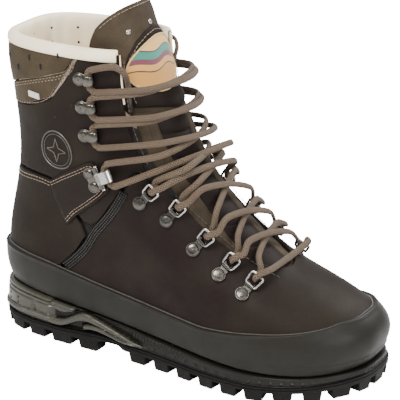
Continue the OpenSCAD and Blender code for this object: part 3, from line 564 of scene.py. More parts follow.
def add_stitches(heap, line, normal, length=2.5, gap=1.1, radius=0.34):
    """A row of stitches: short threads that dive into the leather at both ends."""
    line, normal = resample_both(line, normal, 0.5)
    reach = distance_along(line)
    pitch = length + gap
    for k in range(int(reach[-1] / pitch)):
        centre = (k + 0.5) * pitch + RANDOM.uniform(-0.08, 0.08)
        at = centre + STITCH_STATIONS * length
        p, n = read_at(at, reach, line), unit(read_at(at, reach, normal))
        heap.add_tube(p + n * STITCH_HEIGHTS[:, None], STITCH_RADII * radius, 6, n)


def dome(centre, axis, radius, height, sides=16, rings=4):
    """Points and faces of a shallow dome that stands on a short skirt."""
    axis = unit(np.asarray(axis, float))
    a = unit(np.cross(axis, [0.3, 0.2, 1.0]))
    b = np.cross(axis, a)
    angle = angles_round(sides)
    circle = np.cos(angle)[:, None] * a + np.sin(angle)[:, None] * b
    rise = np.arange(rings) / rings * math.pi / 2
    levels = [(radius, -height), *zip(radius * np.cos(rise), height * np.sin(rise)),
              (radius * 0.08, height)]
    points = np.concatenate([centre + circle * r + axis * h for r, h in levels])
    return points, stack_faces(len(levels), sides)


# ======== materials ========
class Surface:
    """A procedural material: a Principled shader with helpers for its textures."""

    def __init__(self, name, roughness=0.6, specular=0.4, metallic=0.0, sheen=0.0):
        self.material = bpy.data.materials.new(name)
        self.material.use_nodes = True
        self.tree = self.material.node_tree
        self.shader = self.tree.nodes["Principled BSDF"]
        for label, value in (("Roughness", roughness), ("Specular IOR Level", specular),
                             ("Metallic", metallic), ("Sheen Weight", sheen),
                             ("Sheen Roughness", 0.5)):
            self.shader.inputs[label].default_value = value
        places = self.tree.nodes.new("ShaderNodeTexCoord")
        self.place = places.outputs["Object"]
        self.uv = places.outputs["UV"]
        self.last_normal = None

    def node(self, kind, source=None, slot=0, **values):
        """A new node with numbers in its named inputs, fed by source."""
        node = self.tree.nodes.new("ShaderNode" + kind)
        for label, value in values.items():
            node.inputs[label].default_value = value
        if source is not None:
            self.link(source, node.inputs[slot])
        return node

    def link(self, source, target):
        self.tree.links.new(source, target)

    def noise(self, scale, detail=3.0, roughness=0.55):
        """Cloudy noise, about scale clouds to the metre."""
        node = self.node("TexNoise", self.place, "Vector", Scale=scale, Detail=detail,
                         Roughness=roughness)
        return node.outputs["Fac"]

    def cells(self, scale):
        """Pebbled grain, about scale pebbles to the metre."""
        return self.node("TexVoronoi", self.place, "Vector", Scale=scale).outputs["Distance"]

    def math(self, operation, *values):
        """One arithmetic step on sockets and numbers."""
        node = self.node("Math")
        node.operation = operation
        for k, value in enumerate(values):
            if isinstance(value, (int, float)):
                node.inputs[k].default_value = value
            else:
                self.link(value, node.inputs[k])
        return node.outputs[0]

    def parts(self, vector):
        """The x, y and z of a vector socket."""
        return self.node("SeparateXYZ", vector).outputs

    def ramp(self, factor, colours, interpolation="LINEAR"):
        """Colours along a factor, as (position, colour) pairs."""
        node = self.node("ValToRGB", factor)
        node.color_ramp.interpolation = interpolation
        elements = node.color_ramp.elements
        while len(elements) < len(colours):
            elements.new(0.5)
        for element, (position, colour) in zip(elements, colours):
            element.position = position
            element.color = (*colour, 1)
        return node.outputs[0]

    def blend(self, factor, a, b):
        """Mixes two colours, each a socket or a colour."""
        node = self.node("Mix", factor)
        node.data_type = "RGBA"
        for k, value in ((6, a), (7, b)):
            if isinstance(value, tuple):
                node.inputs[k].default_value = (*value, 1)
            else:
                self.link(value, node.inputs[k])
        return node.outputs[2]

    def range(self, value, low, high, out_low, out_high):
        """A value between low and high carried over to between out_low and out_high."""
        node = self.node("MapRange", value)
        for k, number in enumerate((low, high, out_low, out_high)):
            node.inputs[k + 1].default_value = number
        return node.outputs[0]

    def bump(self, height, distance, strength=1.0):
        """Adds a bump whose full height is distance, in metres, on top of those before it."""
        node = self.node("Bump", height, "Height", Strength=strength, Distance=distance)
        if self.last_normal is not None:
            self.link(self.last_normal, node.inputs["Normal"])
        self.last_normal = node.outputs["Normal"]
        self.link(self.last_normal, self.shader.inputs["Normal"])

    def colour(self, socket):
        self.link(socket, self.shader.inputs["Base Color"])

    def roughness(self, socket):
        self.link(socket, self.shader.inputs["Roughness"])


def shade(colour, factor):
    """A colour made darker or brighter."""
    return tuple(min(1.0, c * factor) for c in colour)


# base colours of the leather
DARK_BROWN = (0.0086, 0.0042, 0.0039)
WARM_BROWN = (0.0142, 0.0106, 0.0063)
OLIVE = (0.047, 0.0335, 0.0175)


def dark_leather():
    """Oiled nubuck, browner in the middle, with a painted highlight that makes the toe and the heel
    lighter and more olive.
    """
    s = Surface("dark_leather", 0.58, 0.12)
    x = s.parts(s.place)[0]
    # painted highlight: by position along the boot, the toe and the heel are made lighter and more
    # olive and the middle stays dark
    toe_heel_highlight = s.ramp(s.range(x, -0.15, 0.15, 0, 1), [
        (0.0, (0.75, 0.75, 0.75)), (0.3, (0.35, 0.35, 0.35)), (0.55, (0.0, 0.0, 0.0)),
        (0.72, (0.25, 0.25, 0.25)), (0.9, (0.9, 0.9, 0.9)),
    ])
    cloud = s.noise(26, 4, 0.6)
    tone = s.blend(toe_heel_highlight, DARK_BROWN, WARM_BROWN)
    worn = s.blend(s.range(cloud, 0.42, 0.7, 0, 0.55), tone, shade(WARM_BROWN, 1.15))
    fine = s.noise(900, 2, 0.6)
    s.colour(s.blend(s.range(fine, 0.35, 0.7, 0, 0.35), worn, shade(DARK_BROWN, 0.6)))
    s.roughness(s.range(cloud, 0.3, 0.75, 0.68, 0.5))
    s.bump(s.cells(1500), 0.00007, 0.5)
    s.bump(s.noise(420, 3), 0.00012, 0.5)
    return s.material


def olive_leather(name="olive_leather", colour=OLIVE):
    """Soft grained leather of the collar and the tongue."""
    s = Surface(name, 0.64, 0.18)
    cloud = s.noise(40, 4, 0.6)
    fine = s.noise(1100, 2, 0.6)
    tone = s.blend(s.range(cloud, 0.35, 0.7, 0, 1), shade(colour, 0.72), shade(colour, 1.2))
    s.colour(s.blend(s.range(fine, 0.4, 0.7, 0, 0.35), tone, shade(colour, 0.5)))
    s.roughness(s.range(cloud, 0.3, 0.75, 0.72, 0.56))
    s.bump(s.cells(1200), 0.0001, 0.6)
    s.bump(s.noise(300, 3), 0.00015, 0.5)
    return s.material


def cream_leather():
    """Smooth lining leather with a fine grain and slightly darkened low spots."""
    s = Surface("cream_leather", 0.5, 0.35)
    cloud = s.noise(60, 3)
    s.colour(s.blend(s.range(cloud, 0.35, 0.7, 0, 1), (0.95, 0.78, 0.53), (0.99, 0.89, 0.68)))
    s.bump(s.cells(1100), 0.00006, 0.6)
    s.bump(s.noise(220, 3), 0.0002, 0.4)
    return s.material


def rubber(name, colour, roughness, spread=0.35, grain=900, depth=0.00006, specular=0.45):
    """Moulded rubber with dusty patches and a fine matt texture."""
    s = Surface(name, roughness, specular)
    cloud = s.noise(45, 4, 0.6)
    dust = s.noise(700, 2, 0.7)
    tone = s.blend(s.range(cloud, 0.3, 0.75, 0, 1), shade(colour, 1 - spread),
                   shade(colour, 1 + spread))
    s.colour(s.blend(s.range(dust, 0.5, 0.85, 0, 0.25), tone, shade(colour, 2.0)))
    s.roughness(s.range(cloud, 0.3, 0.75, roughness + 0.08, roughness - 0.1))
    s.bump(s.noise(grain, 2, 0.6), depth, 0.7)
    return s.material


def metal(name, colour, roughness):
    """Plated metal with soft wear in its gloss."""
    s = Surface(name, roughness, 0.5, metallic=1.0)
    cloud = s.noise(260, 4, 0.65)
    s.colour(s.blend(s.range(cloud, 0.35, 0.7, 0, 1), shade(colour, 0.72), shade(colour, 1.15)))
    s.roughness(s.range(s.noise(500, 3), 0.3, 0.7, roughness - 0.07, roughness + 0.12))
    s.bump(s.noise(1500, 2), 0.00003, 0.5)
    return s.material


def cloth(name, colour, period, depth=0.0001, sheen=0.3, dark=0.55):
    """Plain weave: two families of threads that cross, with painted shade darkening it where the
    threads dip.
    """
    s = Surface(name, 0.85, 0.2, sheen=sheen)
    turn = 2 * math.pi / period
    x, y, z = s.parts(s.place)
    one = s.math("SINE", s.math("MULTIPLY", s.math("ADD", x, y), turn))
    slant = s.math("SUBTRACT", z, s.math("MULTIPLY", x, 0.3))
    other = s.math("SINE", s.math("MULTIPLY", slant, turn))
    weave = s.math("MULTIPLY", one, other)
    # painted shade: where the weave dips, the colour falls to dark times the colour
    tone = s.blend(s.range(weave, -1, 1, 0, 1), shade(colour, dark), shade(colour, 1.15))
    s.colour(s.blend(s.range(s.noise(80, 3), 0.4, 0.7, 0, 0.4), tone, shade(colour, 0.7)))
    s.bump(weave, depth, 0.8)
    return s.material


# strands round the lace, and length of one turn of the braid
LACE_TURNS = 6
LACE_STITCH = 2.1


def lace_braid():
    """Braid of two families of strands that cross, taupe with lighter and redder flecks, with
    painted shade darkening it where the strands dip.
    """
    s = Surface("lace_braid", 0.75, 0.25, sheen=0.05)
    along, around, _ = s.parts(s.uv)
    a = s.math("MULTIPLY", along, 2 * math.pi / LACE_STITCH)
    b = s.math("MULTIPLY", around, 2 * math.pi * LACE_TURNS)
    left = s.math("SINE", s.math("ADD", a, b))
    right = s.math("SINE", s.math("SUBTRACT", a, b))
    strand = s.math("MAXIMUM", left, right)
    flecks = s.noise(1500, 2, 0.6)
    patches = s.noise(120, 3, 0.6)
    # painted shade: the colour is far darker where the strands dip between each other
    tone = s.blend(s.range(strand, -0.6, 1, 0, 1), (0.015, 0.0095, 0.0062), (0.112, 0.079, 0.050))
    tone = s.blend(s.range(patches, 0.4, 0.7, 0, 0.5), tone, (0.070, 0.042, 0.031))
    s.colour(s.blend(s.range(flecks, 0.5, 0.8, 0, 0.6), tone, (0.21, 0.15, 0.105)))
    s.bump(strand, 0.0002, 0.9)
    s.bump(flecks, 0.00012, 0.6)
    return s.material


def thread(name, colour):
    """Sewing thread with a fine twist."""
    s = Surface(name, 0.6, 0.35, sheen=0.2)
    s.colour(s.blend(s.range(s.noise(900, 2), 0.35, 0.7, 0, 1), shade(colour, 0.6),
                     shade(colour, 1.3)))
    s.bump(s.noise(2500, 2), 0.00008, 0.7)
    return s.material


def badge_cloth():
    """Embroidered ground of the tongue patch: plain abstract bands, with satin threads."""
    s = Surface("badge_cloth", 0.6, 0.35, sheen=0.3)
    x, y, _ = s.parts(s.uv)
    wave = s.math("MULTIPLY", s.math("SINE", s.math("MULTIPLY", x, 5.2)), 0.09)
    level = s.math("ADD", s.math("ADD", y, wave), s.math("MULTIPLY", x, -0.05))
    band = s.ramp(s.range(level, -1, 1, 0, 1), [
        (0.0, (0.60, 0.29, 0.055)), (0.36, (0.02, 0.02, 0.02)), (0.385, (0.66, 0.34, 0.075)),
        (0.50, (0.16, 0.030, 0.055)), (0.60, (0.02, 0.23, 0.17)), (0.74, (0.02, 0.02, 0.02)),
        (0.765, (0.80, 0.47, 0.14)),
    ], "CONSTANT")
    threads = s.math("SINE", s.math("MULTIPLY", s.math("ADD", x, s.math("MULTIPLY", y, 0.4)), 170))
    s.colour(s.blend(s.range(threads, -1, 1, 0.0, 0.28), band, (0.05, 0.03, 0.02)))
    s.bump(threads, 0.00012, 0.8)
    s.bump(s.noise(1200, 2), 0.0001, 0.5)
    return s.material


MATERIALS = {
    "dark_leather": dark_leather(),
    "olive_leather": olive_leather(),
    "tongue_leather": olive_leather("tongue_leather", (0.044, 0.031, 0.018)),
    "cream_leather": cream_leather(),
    "rand_rubber": rubber("rand_rubber", (0.0088, 0.0076, 0.0055), 0.46, 0.15, specular=0.2),
    "midsole_foam": rubber("midsole_foam", (0.0052, 0.0047, 0.0034), 0.38, 0.2, specular=0.22),
    "stabilizer": rubber("stabilizer", (0.031, 0.029, 0.0205), 0.27, 0.15, specular=0.45),
    "tread_rubber": rubber("tread_rubber", (0.0045, 0.0042, 0.0036), 0.6, 0.3, specular=0.15),
    "dark_metal": metal("dark_metal", (0.105, 0.098, 0.086), 0.17),
    "bright_metal": metal("bright_metal", (0.42, 0.41, 0.385), 0.17),
    "steel_plate": metal("steel_plate", (0.5, 0.5, 0.5), 0.35),
    "lace_cord": lace_braid(),
    "aglet": rubber("aglet", (0.02, 0.014, 0.010), 0.35, 0.2, 1200, 0.00003),
    "gusset_fabric": cloth("gusset_fabric", (0.012, 0.010, 0.009), 0.0011),
    "lining_fabric": cloth("lining_fabric", (0.62, 0.52, 0.38), 0.0014, 0.00015),
    "footbed_felt": cloth("footbed_felt", (0.055, 0.055, 0.060), 0.0016, 0.0002),
    "tag_cloth": cloth("tag_cloth", (0.62, 0.60, 0.55), 0.0007, 0.00006, 0.2, 0.8),
    "board": cloth("board", (0.40, 0.31, 0.18), 0.0012, 0.00005, 0.0, 0.85),
    "stiffener": rubber("stiffener", (0.36, 0.31, 0.23), 0.6, 0.1),
    "label_cloth": badge_cloth(),
    "seam_rubber": rubber("seam_rubber", (0.0035, 0.0030, 0.0028), 0.6, 0.5, 500, 0.0006, 0.12),
    # painted highlight: the light colour given to the raised lines of the stamped ankle mark
    "stamp_highlight": rubber("stamp_highlight", (0.055, 0.048, 0.038), 0.3, 0.4, 900, 0.00004, 0.5),
    # painted shade: dark domes and bars of this colour stand in for the shaded insides of holes and
    # slots
    "hole_shade": rubber("hole_shade", (0.006, 0.005, 0.005), 0.9, 0.3),
    "light_thread": thread("light_thread", (0.23, 0.165, 0.115)),
    "brown_thread": thread("brown_thread", (0.10, 0.055, 0.050)),
    "dark_thread": thread("dark_thread", (0.050, 0.044, 0.038)),
    "membrane": cloth("membrane", (0.012, 0.011, 0.010), 0.0014, 0.0001),
    "badge_edge": thread("badge_edge", (0.55, 0.38, 0.14)),
}


# in place of a body's name: the piece goes on no body, its transform baked into its mesh
BENDING = None


def finish_piece(piece, body, slot, *nodes):
    """Puts a piece on its body, or bakes it in place for BENDING, and hides the CAD nodes that it
    stands for; slot is not used.
    """
    if body is BENDING:
        bend_piece(piece)
    else:
        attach(piece, body)
    if nodes:
        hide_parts(*nodes)
    return piece


# ======== lace ========
LACE_W = 4.7
LACE_H = 2.8
LACE_SIDES = 20
LACE_STEP = 0.55
RING_WIRE_D = 1.9
RING_LEN = 9
PLATE_LIFT = 0.8
# (u, v) of each fitting, and of the point that it looks at, from the top down
CLIPS = [
    ((3.35, 5.8), (2.85, 6.25)),
    ((2.95, 5.43), (2.55, 5.8)),
    ((2.8, 4.67), (2.35, 5.05)),
    ((2.7, 4.0), (2.12, 4.5)),
    ((2.62, 3.45), (2.1, 3.93)),
]
HOOKS = [((3.7, 9.03), (3.1, 9.12)), ((3.73, 8.22), (3.1, 8.33)), ((3.85, 7.48), (3.2, 7.62))]
LOCK = ((4.22, 6.2), (3.55, 6.6))
STRAP_LIFT = GAP + STRAP_T + PLATE_LIFT


def fitting_frame(side, at, to, lift=0.0):
    """Frame of a fitting: place, way to the throat, way along the throat and outward normal."""
    p, n1 = surface(on_side(side, at[0]), at[1])
    q, n2 = surface(on_side(side, to[0]), to[1])
    n = unit(n1 + n2)
    t = unit((q - p) - n * np.dot(q - p, n))
    return p + n * lift, t, np.cross(n, t), n


def in_frame(f, a):
    """The point a, given along the three directions of a frame."""
    return f[0] + f[1] * a[0] + f[2] * a[1] + f[3] * a[2]


def place_frame(side, k):
    """The nine lacing places of one side, top hook first."""
    if k < 3:
        return fitting_frame(side, *HOOKS[k])
    if k == 3:
        return fitting_frame(side, *LOCK, STRAP_LIFT)
    return fitting_frame(side, *CLIPS[k - 4], PLATE_LIFT)


# the bar of a ring and its tip, measured from its clip towards the throat and outwards
RING_BAR_T = 8
RING_BAR_N = GAP + 2.05
RING_TILT = math.radians(20)
TIP_T = RING_BAR_T + RING_LEN * math.cos(RING_TILT)
TIP_N = RING_BAR_N + RING_LEN * math.sin(RING_TILT)
WRAP_R = RING_WIRE_D / 2 + 1.6 + 0.8
LOCK_SHIFT = 11.8
LOCK_LIFT = 0.6
# way of the lace through a hook and through a ring: to the throat, along it, and outwards
HOOK_WAY = [(9.5, 8.4, 5), (6, 7.6, 4.7), (3.8, 6.4, 4.3), (2.9, 4.4, 4.3), (2.8, 2, 4.3),
            (2.8, -2, 4.3), (2.9, -4.4, 4.3), (3.8, -6.4, 4.3), (6, -7.6, 4.7), (9.5, -8.4, 5)]
RING_WAY = [
    (TIP_T + 5.5, 3, TIP_N - 2.2),
    (TIP_T + 1, 1.4, TIP_N - WRAP_R),
    (TIP_T - 0.71 * WRAP_R - 0.3, 0.8, TIP_N - 0.75 * WRAP_R),
    (TIP_T - WRAP_R - 0.2, 0, TIP_N),
    (TIP_T - 0.71 * WRAP_R - 0.3, -0.8, TIP_N + 0.75 * WRAP_R),
    (TIP_T + 1, -1.4, TIP_N + WRAP_R),
    (TIP_T + 5.5, -3, TIP_N + 2.6),
]
# u, v and distance from the upper along a loose end, which is tucked in at its start
LACE_END = [(2.56, 8.62, -4.3), (2.56, 8.85, -4.1), (2.58, 9.12, -1.6), (2.64, 9.38, 1.5),
            (2.84, 9.6, 3.9), (3.08, 9.6, 4.9)]


def way_down(side, k):
    """Way of the lace through a place, from its upper strand to its lower one."""
    f = place_frame(side, k)
    way = HOOK_WAY if k < 4 else RING_WAY
    shift, lift = (LOCK_SHIFT, LOCK_LIFT) if k == 3 else (0, 0)
    return [in_frame(f, (t + shift, a * side, n + lift)) for t, a, n in way]


# height on the upper at which each strand crosses the middle, and how far out it does so
CREST_V = [8.95, 8.2, 7.5, 7.1, 6.78, 6.28, 5.6, 5.0]
CREST_OVER = 7
CREST_UNDER = 3.1
# the last strand goes straight across: height and distance out
BAR_CREST = (4.42, 3.2)


def strand_drop(v):
    """How much a strand sinks in where the tongue leans back."""
    return 4 * min(0.9, max(0, v - 7.9))


def arched(start, end, crest):
    """Points of the lace from start to end over a crest."""
    return [
        mix(start, end, t) + (crest - (start + end) / 2) * (4 * t * (1 - t)) ** 0.4
        for t in (0.1, 0.26, 0.5, 0.74, 0.9)
    ]


def strand(side, k, over):
    """Points of the lace from a place down to the next one on the other side."""
    out = CREST_OVER if over else CREST_UNDER
    crest = skin(0.0, CREST_V[k], out - strand_drop(CREST_V[k]))
    return arched(way_down(side, k)[-1], way_down(-side, k + 1)[0], crest)


def down_run(first_side, over):
    """Way of one end of the lace from its top hook to its lowest ring."""
    points = []
    for k in range(9):
        side = first_side if k % 2 == 0 else -first_side
        points += way_down(side, k)
        if k < 8:
            points += strand(side, k, (k % 2 == 0) == over)
    return points


def lace_end(side):
    """Points of a loose end, from its tip up to the top hook."""
    return [skin(on_side(side, u), v, d) for u, v, d in LACE_END]


def lace_path():
    """The whole way of the lace, from its outer loose end to its inner one."""
    bar = arched(way_down(1, 8)[-1], way_down(-1, 8)[-1], skin(0.0, *BAR_CREST))
    return np.array(lace_end(1) + down_run(1, True) + bar + down_run(-1, False)[::-1]
                    + lace_end(-1)[::-1])


def lace_wide_direction(line):
    """Direction of the lace's wide side: across its path, flat on the foot."""
    out = unit(np.stack(np.broadcast_arrays(60.0, line[:, 1], 40.0), -1))
    wide = unit(np.cross(tangents(line), out))
    for i in range(1, len(wide)):
        if np.dot(wide[i], wide[i - 1]) < 0:
            wide[i] = -wide[i]
    reach = 4
    window = np.ones(2 * reach + 1) / (2 * reach + 1)
    padded = np.pad(wide, ((reach, reach), (0, 0)), "edge")
    return unit(np.stack([np.convolve(padded[:, k], window, "valid") for k in range(3)], -1))


# an end tip: distance past the end of the braid, and radius there
TIP_SHAPE = [(-1.5, 1.72), (-1, 1.86), (0, 1.86), (1.5, 1.86), (2.2, 1.7), (3, 1.8), (8, 1.8),
             (9, 1.7), (11.4, 1.75), (12, 1.3)]


def make_lace():
    """Braided lace: a flattened tube whose surface rises and falls with its strands."""
    path, along = resample(smooth_line(lace_path(), 10), LACE_STEP)
    wide = lace_wide_direction(path)
    angle = angles_round(LACE_SIDES)
    phase = along[:, None] * 2 * math.pi / LACE_STITCH
    twist = angle[None, :] * LACE_TURNS
    braid = np.maximum(np.sin(phase + twist), np.sin(phase - twist))
    slack = 1 + 0.03 * np.sin(along / 17)[:, None]
    radii = LACE_W / 2 * slack + 0.09 * braid
    rings = tube(path, radii, LACE_SIDES, wide, LACE_H / LACE_W)
    uv = np.stack(np.broadcast_arrays(along[:, None], angle / (2 * math.pi)), -1)
    lace = make_object("boot_lace_braid", rings, stack_faces(len(path), LACE_SIDES),
                       MATERIALS["lace_cord"], 80, uv)
    print("lace length mm", round(along[-1], 1))
    finish_piece(lace, "boot", "lace_cord", "boot_lace")
    tips = Heap()
    for side in SIDES:
        end = np.array(lace_end(side))
        ahead = unit(end[0] - end[1])
        at, radius = np.array(TIP_SHAPE).T
        tips.add_tube(end[0] + ahead * at[:, None], radius, 16, (0, 1.0, 0))
    finish_piece(tips.piece("lace_tips", MATERIALS["aglet"]), "boot", "aglet", "lace_aglets")


# ======== sole ========
LUG_H = 7
# undersides of the lugs and top of the tread by x, and how far the tread stands out by distance
# from the front
GROUND = [(-10, 2.4), (0, 1), (14, 0), (215, 0), (240, 0.9), (262, 2.9), (285, 6.2), (303, 9)]
TREAD_TOP = [(-10, 12.6), (60, 12.2), (95, 14.4), (130, 12.2), (180, 10.6), (230, 11.6),
             (262, 14.6), (285, 18.4), (303, 21.5)]
TREAD_OUT = [(0, 8.5), (0.9, 8.5), (2.2, 6), (6, 6), (7.1, 7.5), (8, 7.5)]
# both ends of each lug along the edge of the tread, by distance from the front
EDGE_LUGS = [(0.62, 1.02), (1.22, 1.6), (1.78, 2.08), (2.24, 2.52), (2.66, 2.92), (3.04, 3.27),
             (3.39, 3.6), (3.73, 3.94), (4.07, 4.28), (4.41, 4.64),
             (5.12, 5.4), (5.52, 5.85), (5.98, 6.3), (6.45, 6.85), (7.02, 7.55)]
EDGE_LUG_DEPTH = 13
TOE_LUG = (-0.36, 0.36)
# x and y of the pairs of bars in the middle of the tread
MID_LUGS = [(22, 3), (44, 5), (66, 5), (142, 4), (162, 4), (182, 5), (202, 6), (222, 7), (243, 8)]
# half length and half width of those bars, and how much they slant
MID_LUG_A, MID_LUG_B = 5.5, 7.5
MID_LUG_TURN = math.radians(24)
# x at both ends of the hollow under the waist, and how long its slopes are
WAIST = (91, 117)
WAIST_SLOPE = 6
AROUND_SOLE = 960


def height_at(x, table):
    """A height read from a table of (x, height), corners softened."""
    xs, ys = zip(*table)
    shifts = np.array([-6, -3, 0, 3, 6])
    return sum(np.interp(x + shift, xs, ys) for shift in shifts) / len(shifts)


def bump_curve(t, centre, half_width):
    """1 at the centre, falling smoothly to 0 at half_width away."""
    return np.clip(1 - ((t - centre) / half_width) ** 2, 0, 1) ** 1.5


def step_curve(t, low, high):
    """0 below low, 1 above high, smooth between."""
    x = np.clip((t - low) / (high - low), 0, 1)
    return x * x * (3 - 2 * x)


def sole_stack(name, loops, material):
    """Closed solid from loops round the sole, lowest first, capped straight across."""
    n = loops.shape[1]
    faces = [face[::-1] for face in grid_quads(len(loops), n, wrap_columns=True).tolist()]
    for start, order in ((0, 1), ((len(loops) - 1) * n, -1)):
        for i in range(n // 2):
            corners = dict.fromkeys([i + 1, i, (n - i) % n, n - i - 1])
            faces.append([start + k for k in corners][::order])
    return make_object(name, loops, faces, material, 40)


# the wave bar of the sole wall: height of its middle and its half width, by the distance from
# the front
WAVE_MIDDLE = [(4.3, 0.10), (4.6, 0.22), (4.8, 0.42), (5.05, 0.62), (5.25, 0.76), (5.36, 0.74),
               (5.5, 0.45), (5.62, 0.24), (5.8, 0.20), (6.1, 0.26), (6.6, 0.2), (8, 0.16)]
WAVE_HALF = [(4.3, 0.05), (4.6, 0.15), (5.1, 0.2), (5.4, 0.22), (5.6, 0.15), (6, 0.14), (6.6, 0.1),
             (8, 0.08)]
# the leaf-shaped bar under the wave, and the lower edge of the tab behind it
LEAF_MIDDLE = [(4.5, 0.04), (4.8, 0.16), (5.1, 0.33), (5.25, 0.34), (5.4, 0.12)]
TAB_LOW = [(5.4, 0.9), (5.6, 0.62), (5.78, 0.62), (5.9, 0.9)]
# how closely the fine ribs and the low bumps of the wall follow each other
KNURL_RATE = 125.66
BUMP_RATE = 40


def wall_relief(f, t):
    """How far the wall of the sole stands out, by distance from the front and height 0 to 1,
    and how much of it is the light raised part."""
    wave_at, half = lookup(f, WAVE_MIDDLE), lookup(f, WAVE_HALF)
    heel = step_curve(f, 5.75, 5.95)
    arch = step_curve(f, 4.35, 4.7) * (1 - heel)
    front = 1 - step_curve(f, 4.25, 4.6)
    bar = plateau(t, wave_at, half) * step_curve(f, 4.3, 4.6)
    leaf_at = lookup(f, LEAF_MIDDLE)
    leaf = plateau(t, leaf_at, 0.14) * between(f, 4.5, 4.7, 5.28, 5.4)
    tab_low = lookup(f, TAB_LOW)
    tab = between(f, 5.42, 5.5, 5.82, 5.88) * step_curve(t, tab_low, tab_low + 0.07)
    ridge = heel * (plateau(t, 0.93, 0.07) + 0.8 * plateau(t, 0.79, 0.05))
    block = heel * between(t, 0.28, 0.34, 0.66, 0.71)
    block = block * (1 - bump_curve(f, 6.2, 0.06) - bump_curve(f, 7.3, 0.06))
    dimples = sum(bump_curve(f, at, 0.04) * bump_curve(t, high, 0.06)
                  for at in (6.6, 6.9) for high in (0.40, 0.58))
    strip = between(f, 3.7, 3.9, 4.6, 4.7) * between(t, 0.42, 0.5, 0.82, 0.88)
    knurl = strip * (0.5 + 0.45 * np.sin(f * KNURL_RATE))
    low_bumps = np.clip(np.sin(f * BUMP_RATE), 0, 1) ** 2 * bump_curve(t, 0.32, 0.16) * front
    raised = 2.6 * bar + 2.4 * leaf + 2.2 * tab + 1.3 * ridge + 1.2 * block + 0.8 * knurl
    raised += 0.8 * low_bumps + 0.8 * bump_curve(t, 0.93, 0.05) * (1 - heel)
    sunk = 2.6 * arch * step_curve(t, 0.04, 0.12) * (1 - np.clip(bar + leaf + tab, 0, 1))
    sunk += 1.4 * dimples * heel + 0.7 * bump_curve(t, 0.12, 0.05) * (1 - arch)
    light = np.clip(bar + leaf + tab + ridge + block + knurl * 0.7 + heel * 0.7 - dimples, 0, 1)
    return raised - sunk, light


def plateau(t, centre, half_width):
    """1 over most of a band of t, with a short round shoulder on both sides."""
    x = np.abs(t - centre) / half_width
    return np.clip(1 - x**4, 0, 1) ** 0.5


# how far the wall stands out at heights from 0 to 1, before its relief
WALL_HEIGHTS = [0, 0.05, 0.8, 0.95, 1]
WALL_OUT = [-1.9, -1.1, -1.9, -2.7, -4.5]


def between(t, low, low_end, high, high_end):
    """1 from low_end to high, falling smoothly to 0 at low and at high_end."""
    return step_curve(t, low, low_end) * (1 - step_curve(t, high, high_end))


def make_midsole():
    """Sculpted wall between the tread and the rand."""
    t = np.concatenate([[0, 0.02, 0.05], np.linspace(0.08, 0.97, 42), [0.985, 1.0]])
    u = np.arange(AROUND_SOLE) * 16 / AROUND_SOLE
    f = fold(u)
    base_out = lookup(f, TREAD_OUT)
    low_x = outline(u, base_out - 1)[:, 0]
    low_z = height_at(low_x, TREAD_TOP) + GAP
    high_z = surface(u, 0.0)[0][:, 2] - 1.2
    profile = np.interp(t, WALL_HEIGHTS, WALL_OUT)
    loops, light = [], []
    for level, out in zip(t, profile):
        relief, share = wall_relief(f, level)
        light.append(share)
        p = outline(u, base_out + out + relief)
        p[:, 2] = mix(low_z, high_z, level)
        loops.append(p)
    piece = sole_stack("midsole_wall", np.array(loops), MATERIALS["midsole_foam"])
    piece.data.materials.append(MATERIALS["stabilizer"])
    shares = np.array(light)
    shares = (shares[:-1] + shares[1:]) / 2
    shares = (shares + np.roll(shares, -1, 1)) / 2
    for face, share in zip(piece.data.polygons, shares.reshape(-1)):
        face.material_index = 1 if share > 0.5 else 0
    finish_piece(piece, "boot", "midsole_foam", "midsole", "stabilizer_lateral",
                 "stabilizer_medial")


def lug_corners(u0, u1, depth):
    """Eight corners of a lug under the edge of the tread, tread face first."""
    middle = (u0 + u1) / 2
    corners = []
    for grow, lift, near, far in ((0.88, 0, 1, depth), (1.06, LUG_H + 1, 0.1, depth + 1)):
        for u, inset in ((u0, near), (u1, near), (u1, far), (u0, far)):
            w = mix(middle, u, grow)
            x, y, _ = outline(w, float(lookup(fold(w), TREAD_OUT)) - inset)
            corners.append([x, y, float(height_at(x, GROUND)) + lift])
    return np.array(corners)


BOX_FACES = [[0, 1, 2, 3], [4, 7, 6, 5], [0, 4, 5, 1], [1, 5, 6, 2], [2, 6, 7, 3], [3, 7, 4, 0]]


def mid_lug_corners(x, y, turn):
    """Eight corners of a slanted bar lug in the middle of the tread."""
    z = float(height_at(x + 5, GROUND))
    c, s = math.cos(turn), math.sin(turn)
    corners = []
    for grow, lift in ((0.9, 0), (1.08, LUG_H + 1)):
        for i, j in ((-1, -1), (1, -1), (1, 1), (-1, 1)):
            a, b = i * MID_LUG_A, j * MID_LUG_B
            corners.append([x + (a * c - b * s) * grow, y + (a * s + b * c) * grow, z + lift])
    return np.array(corners)


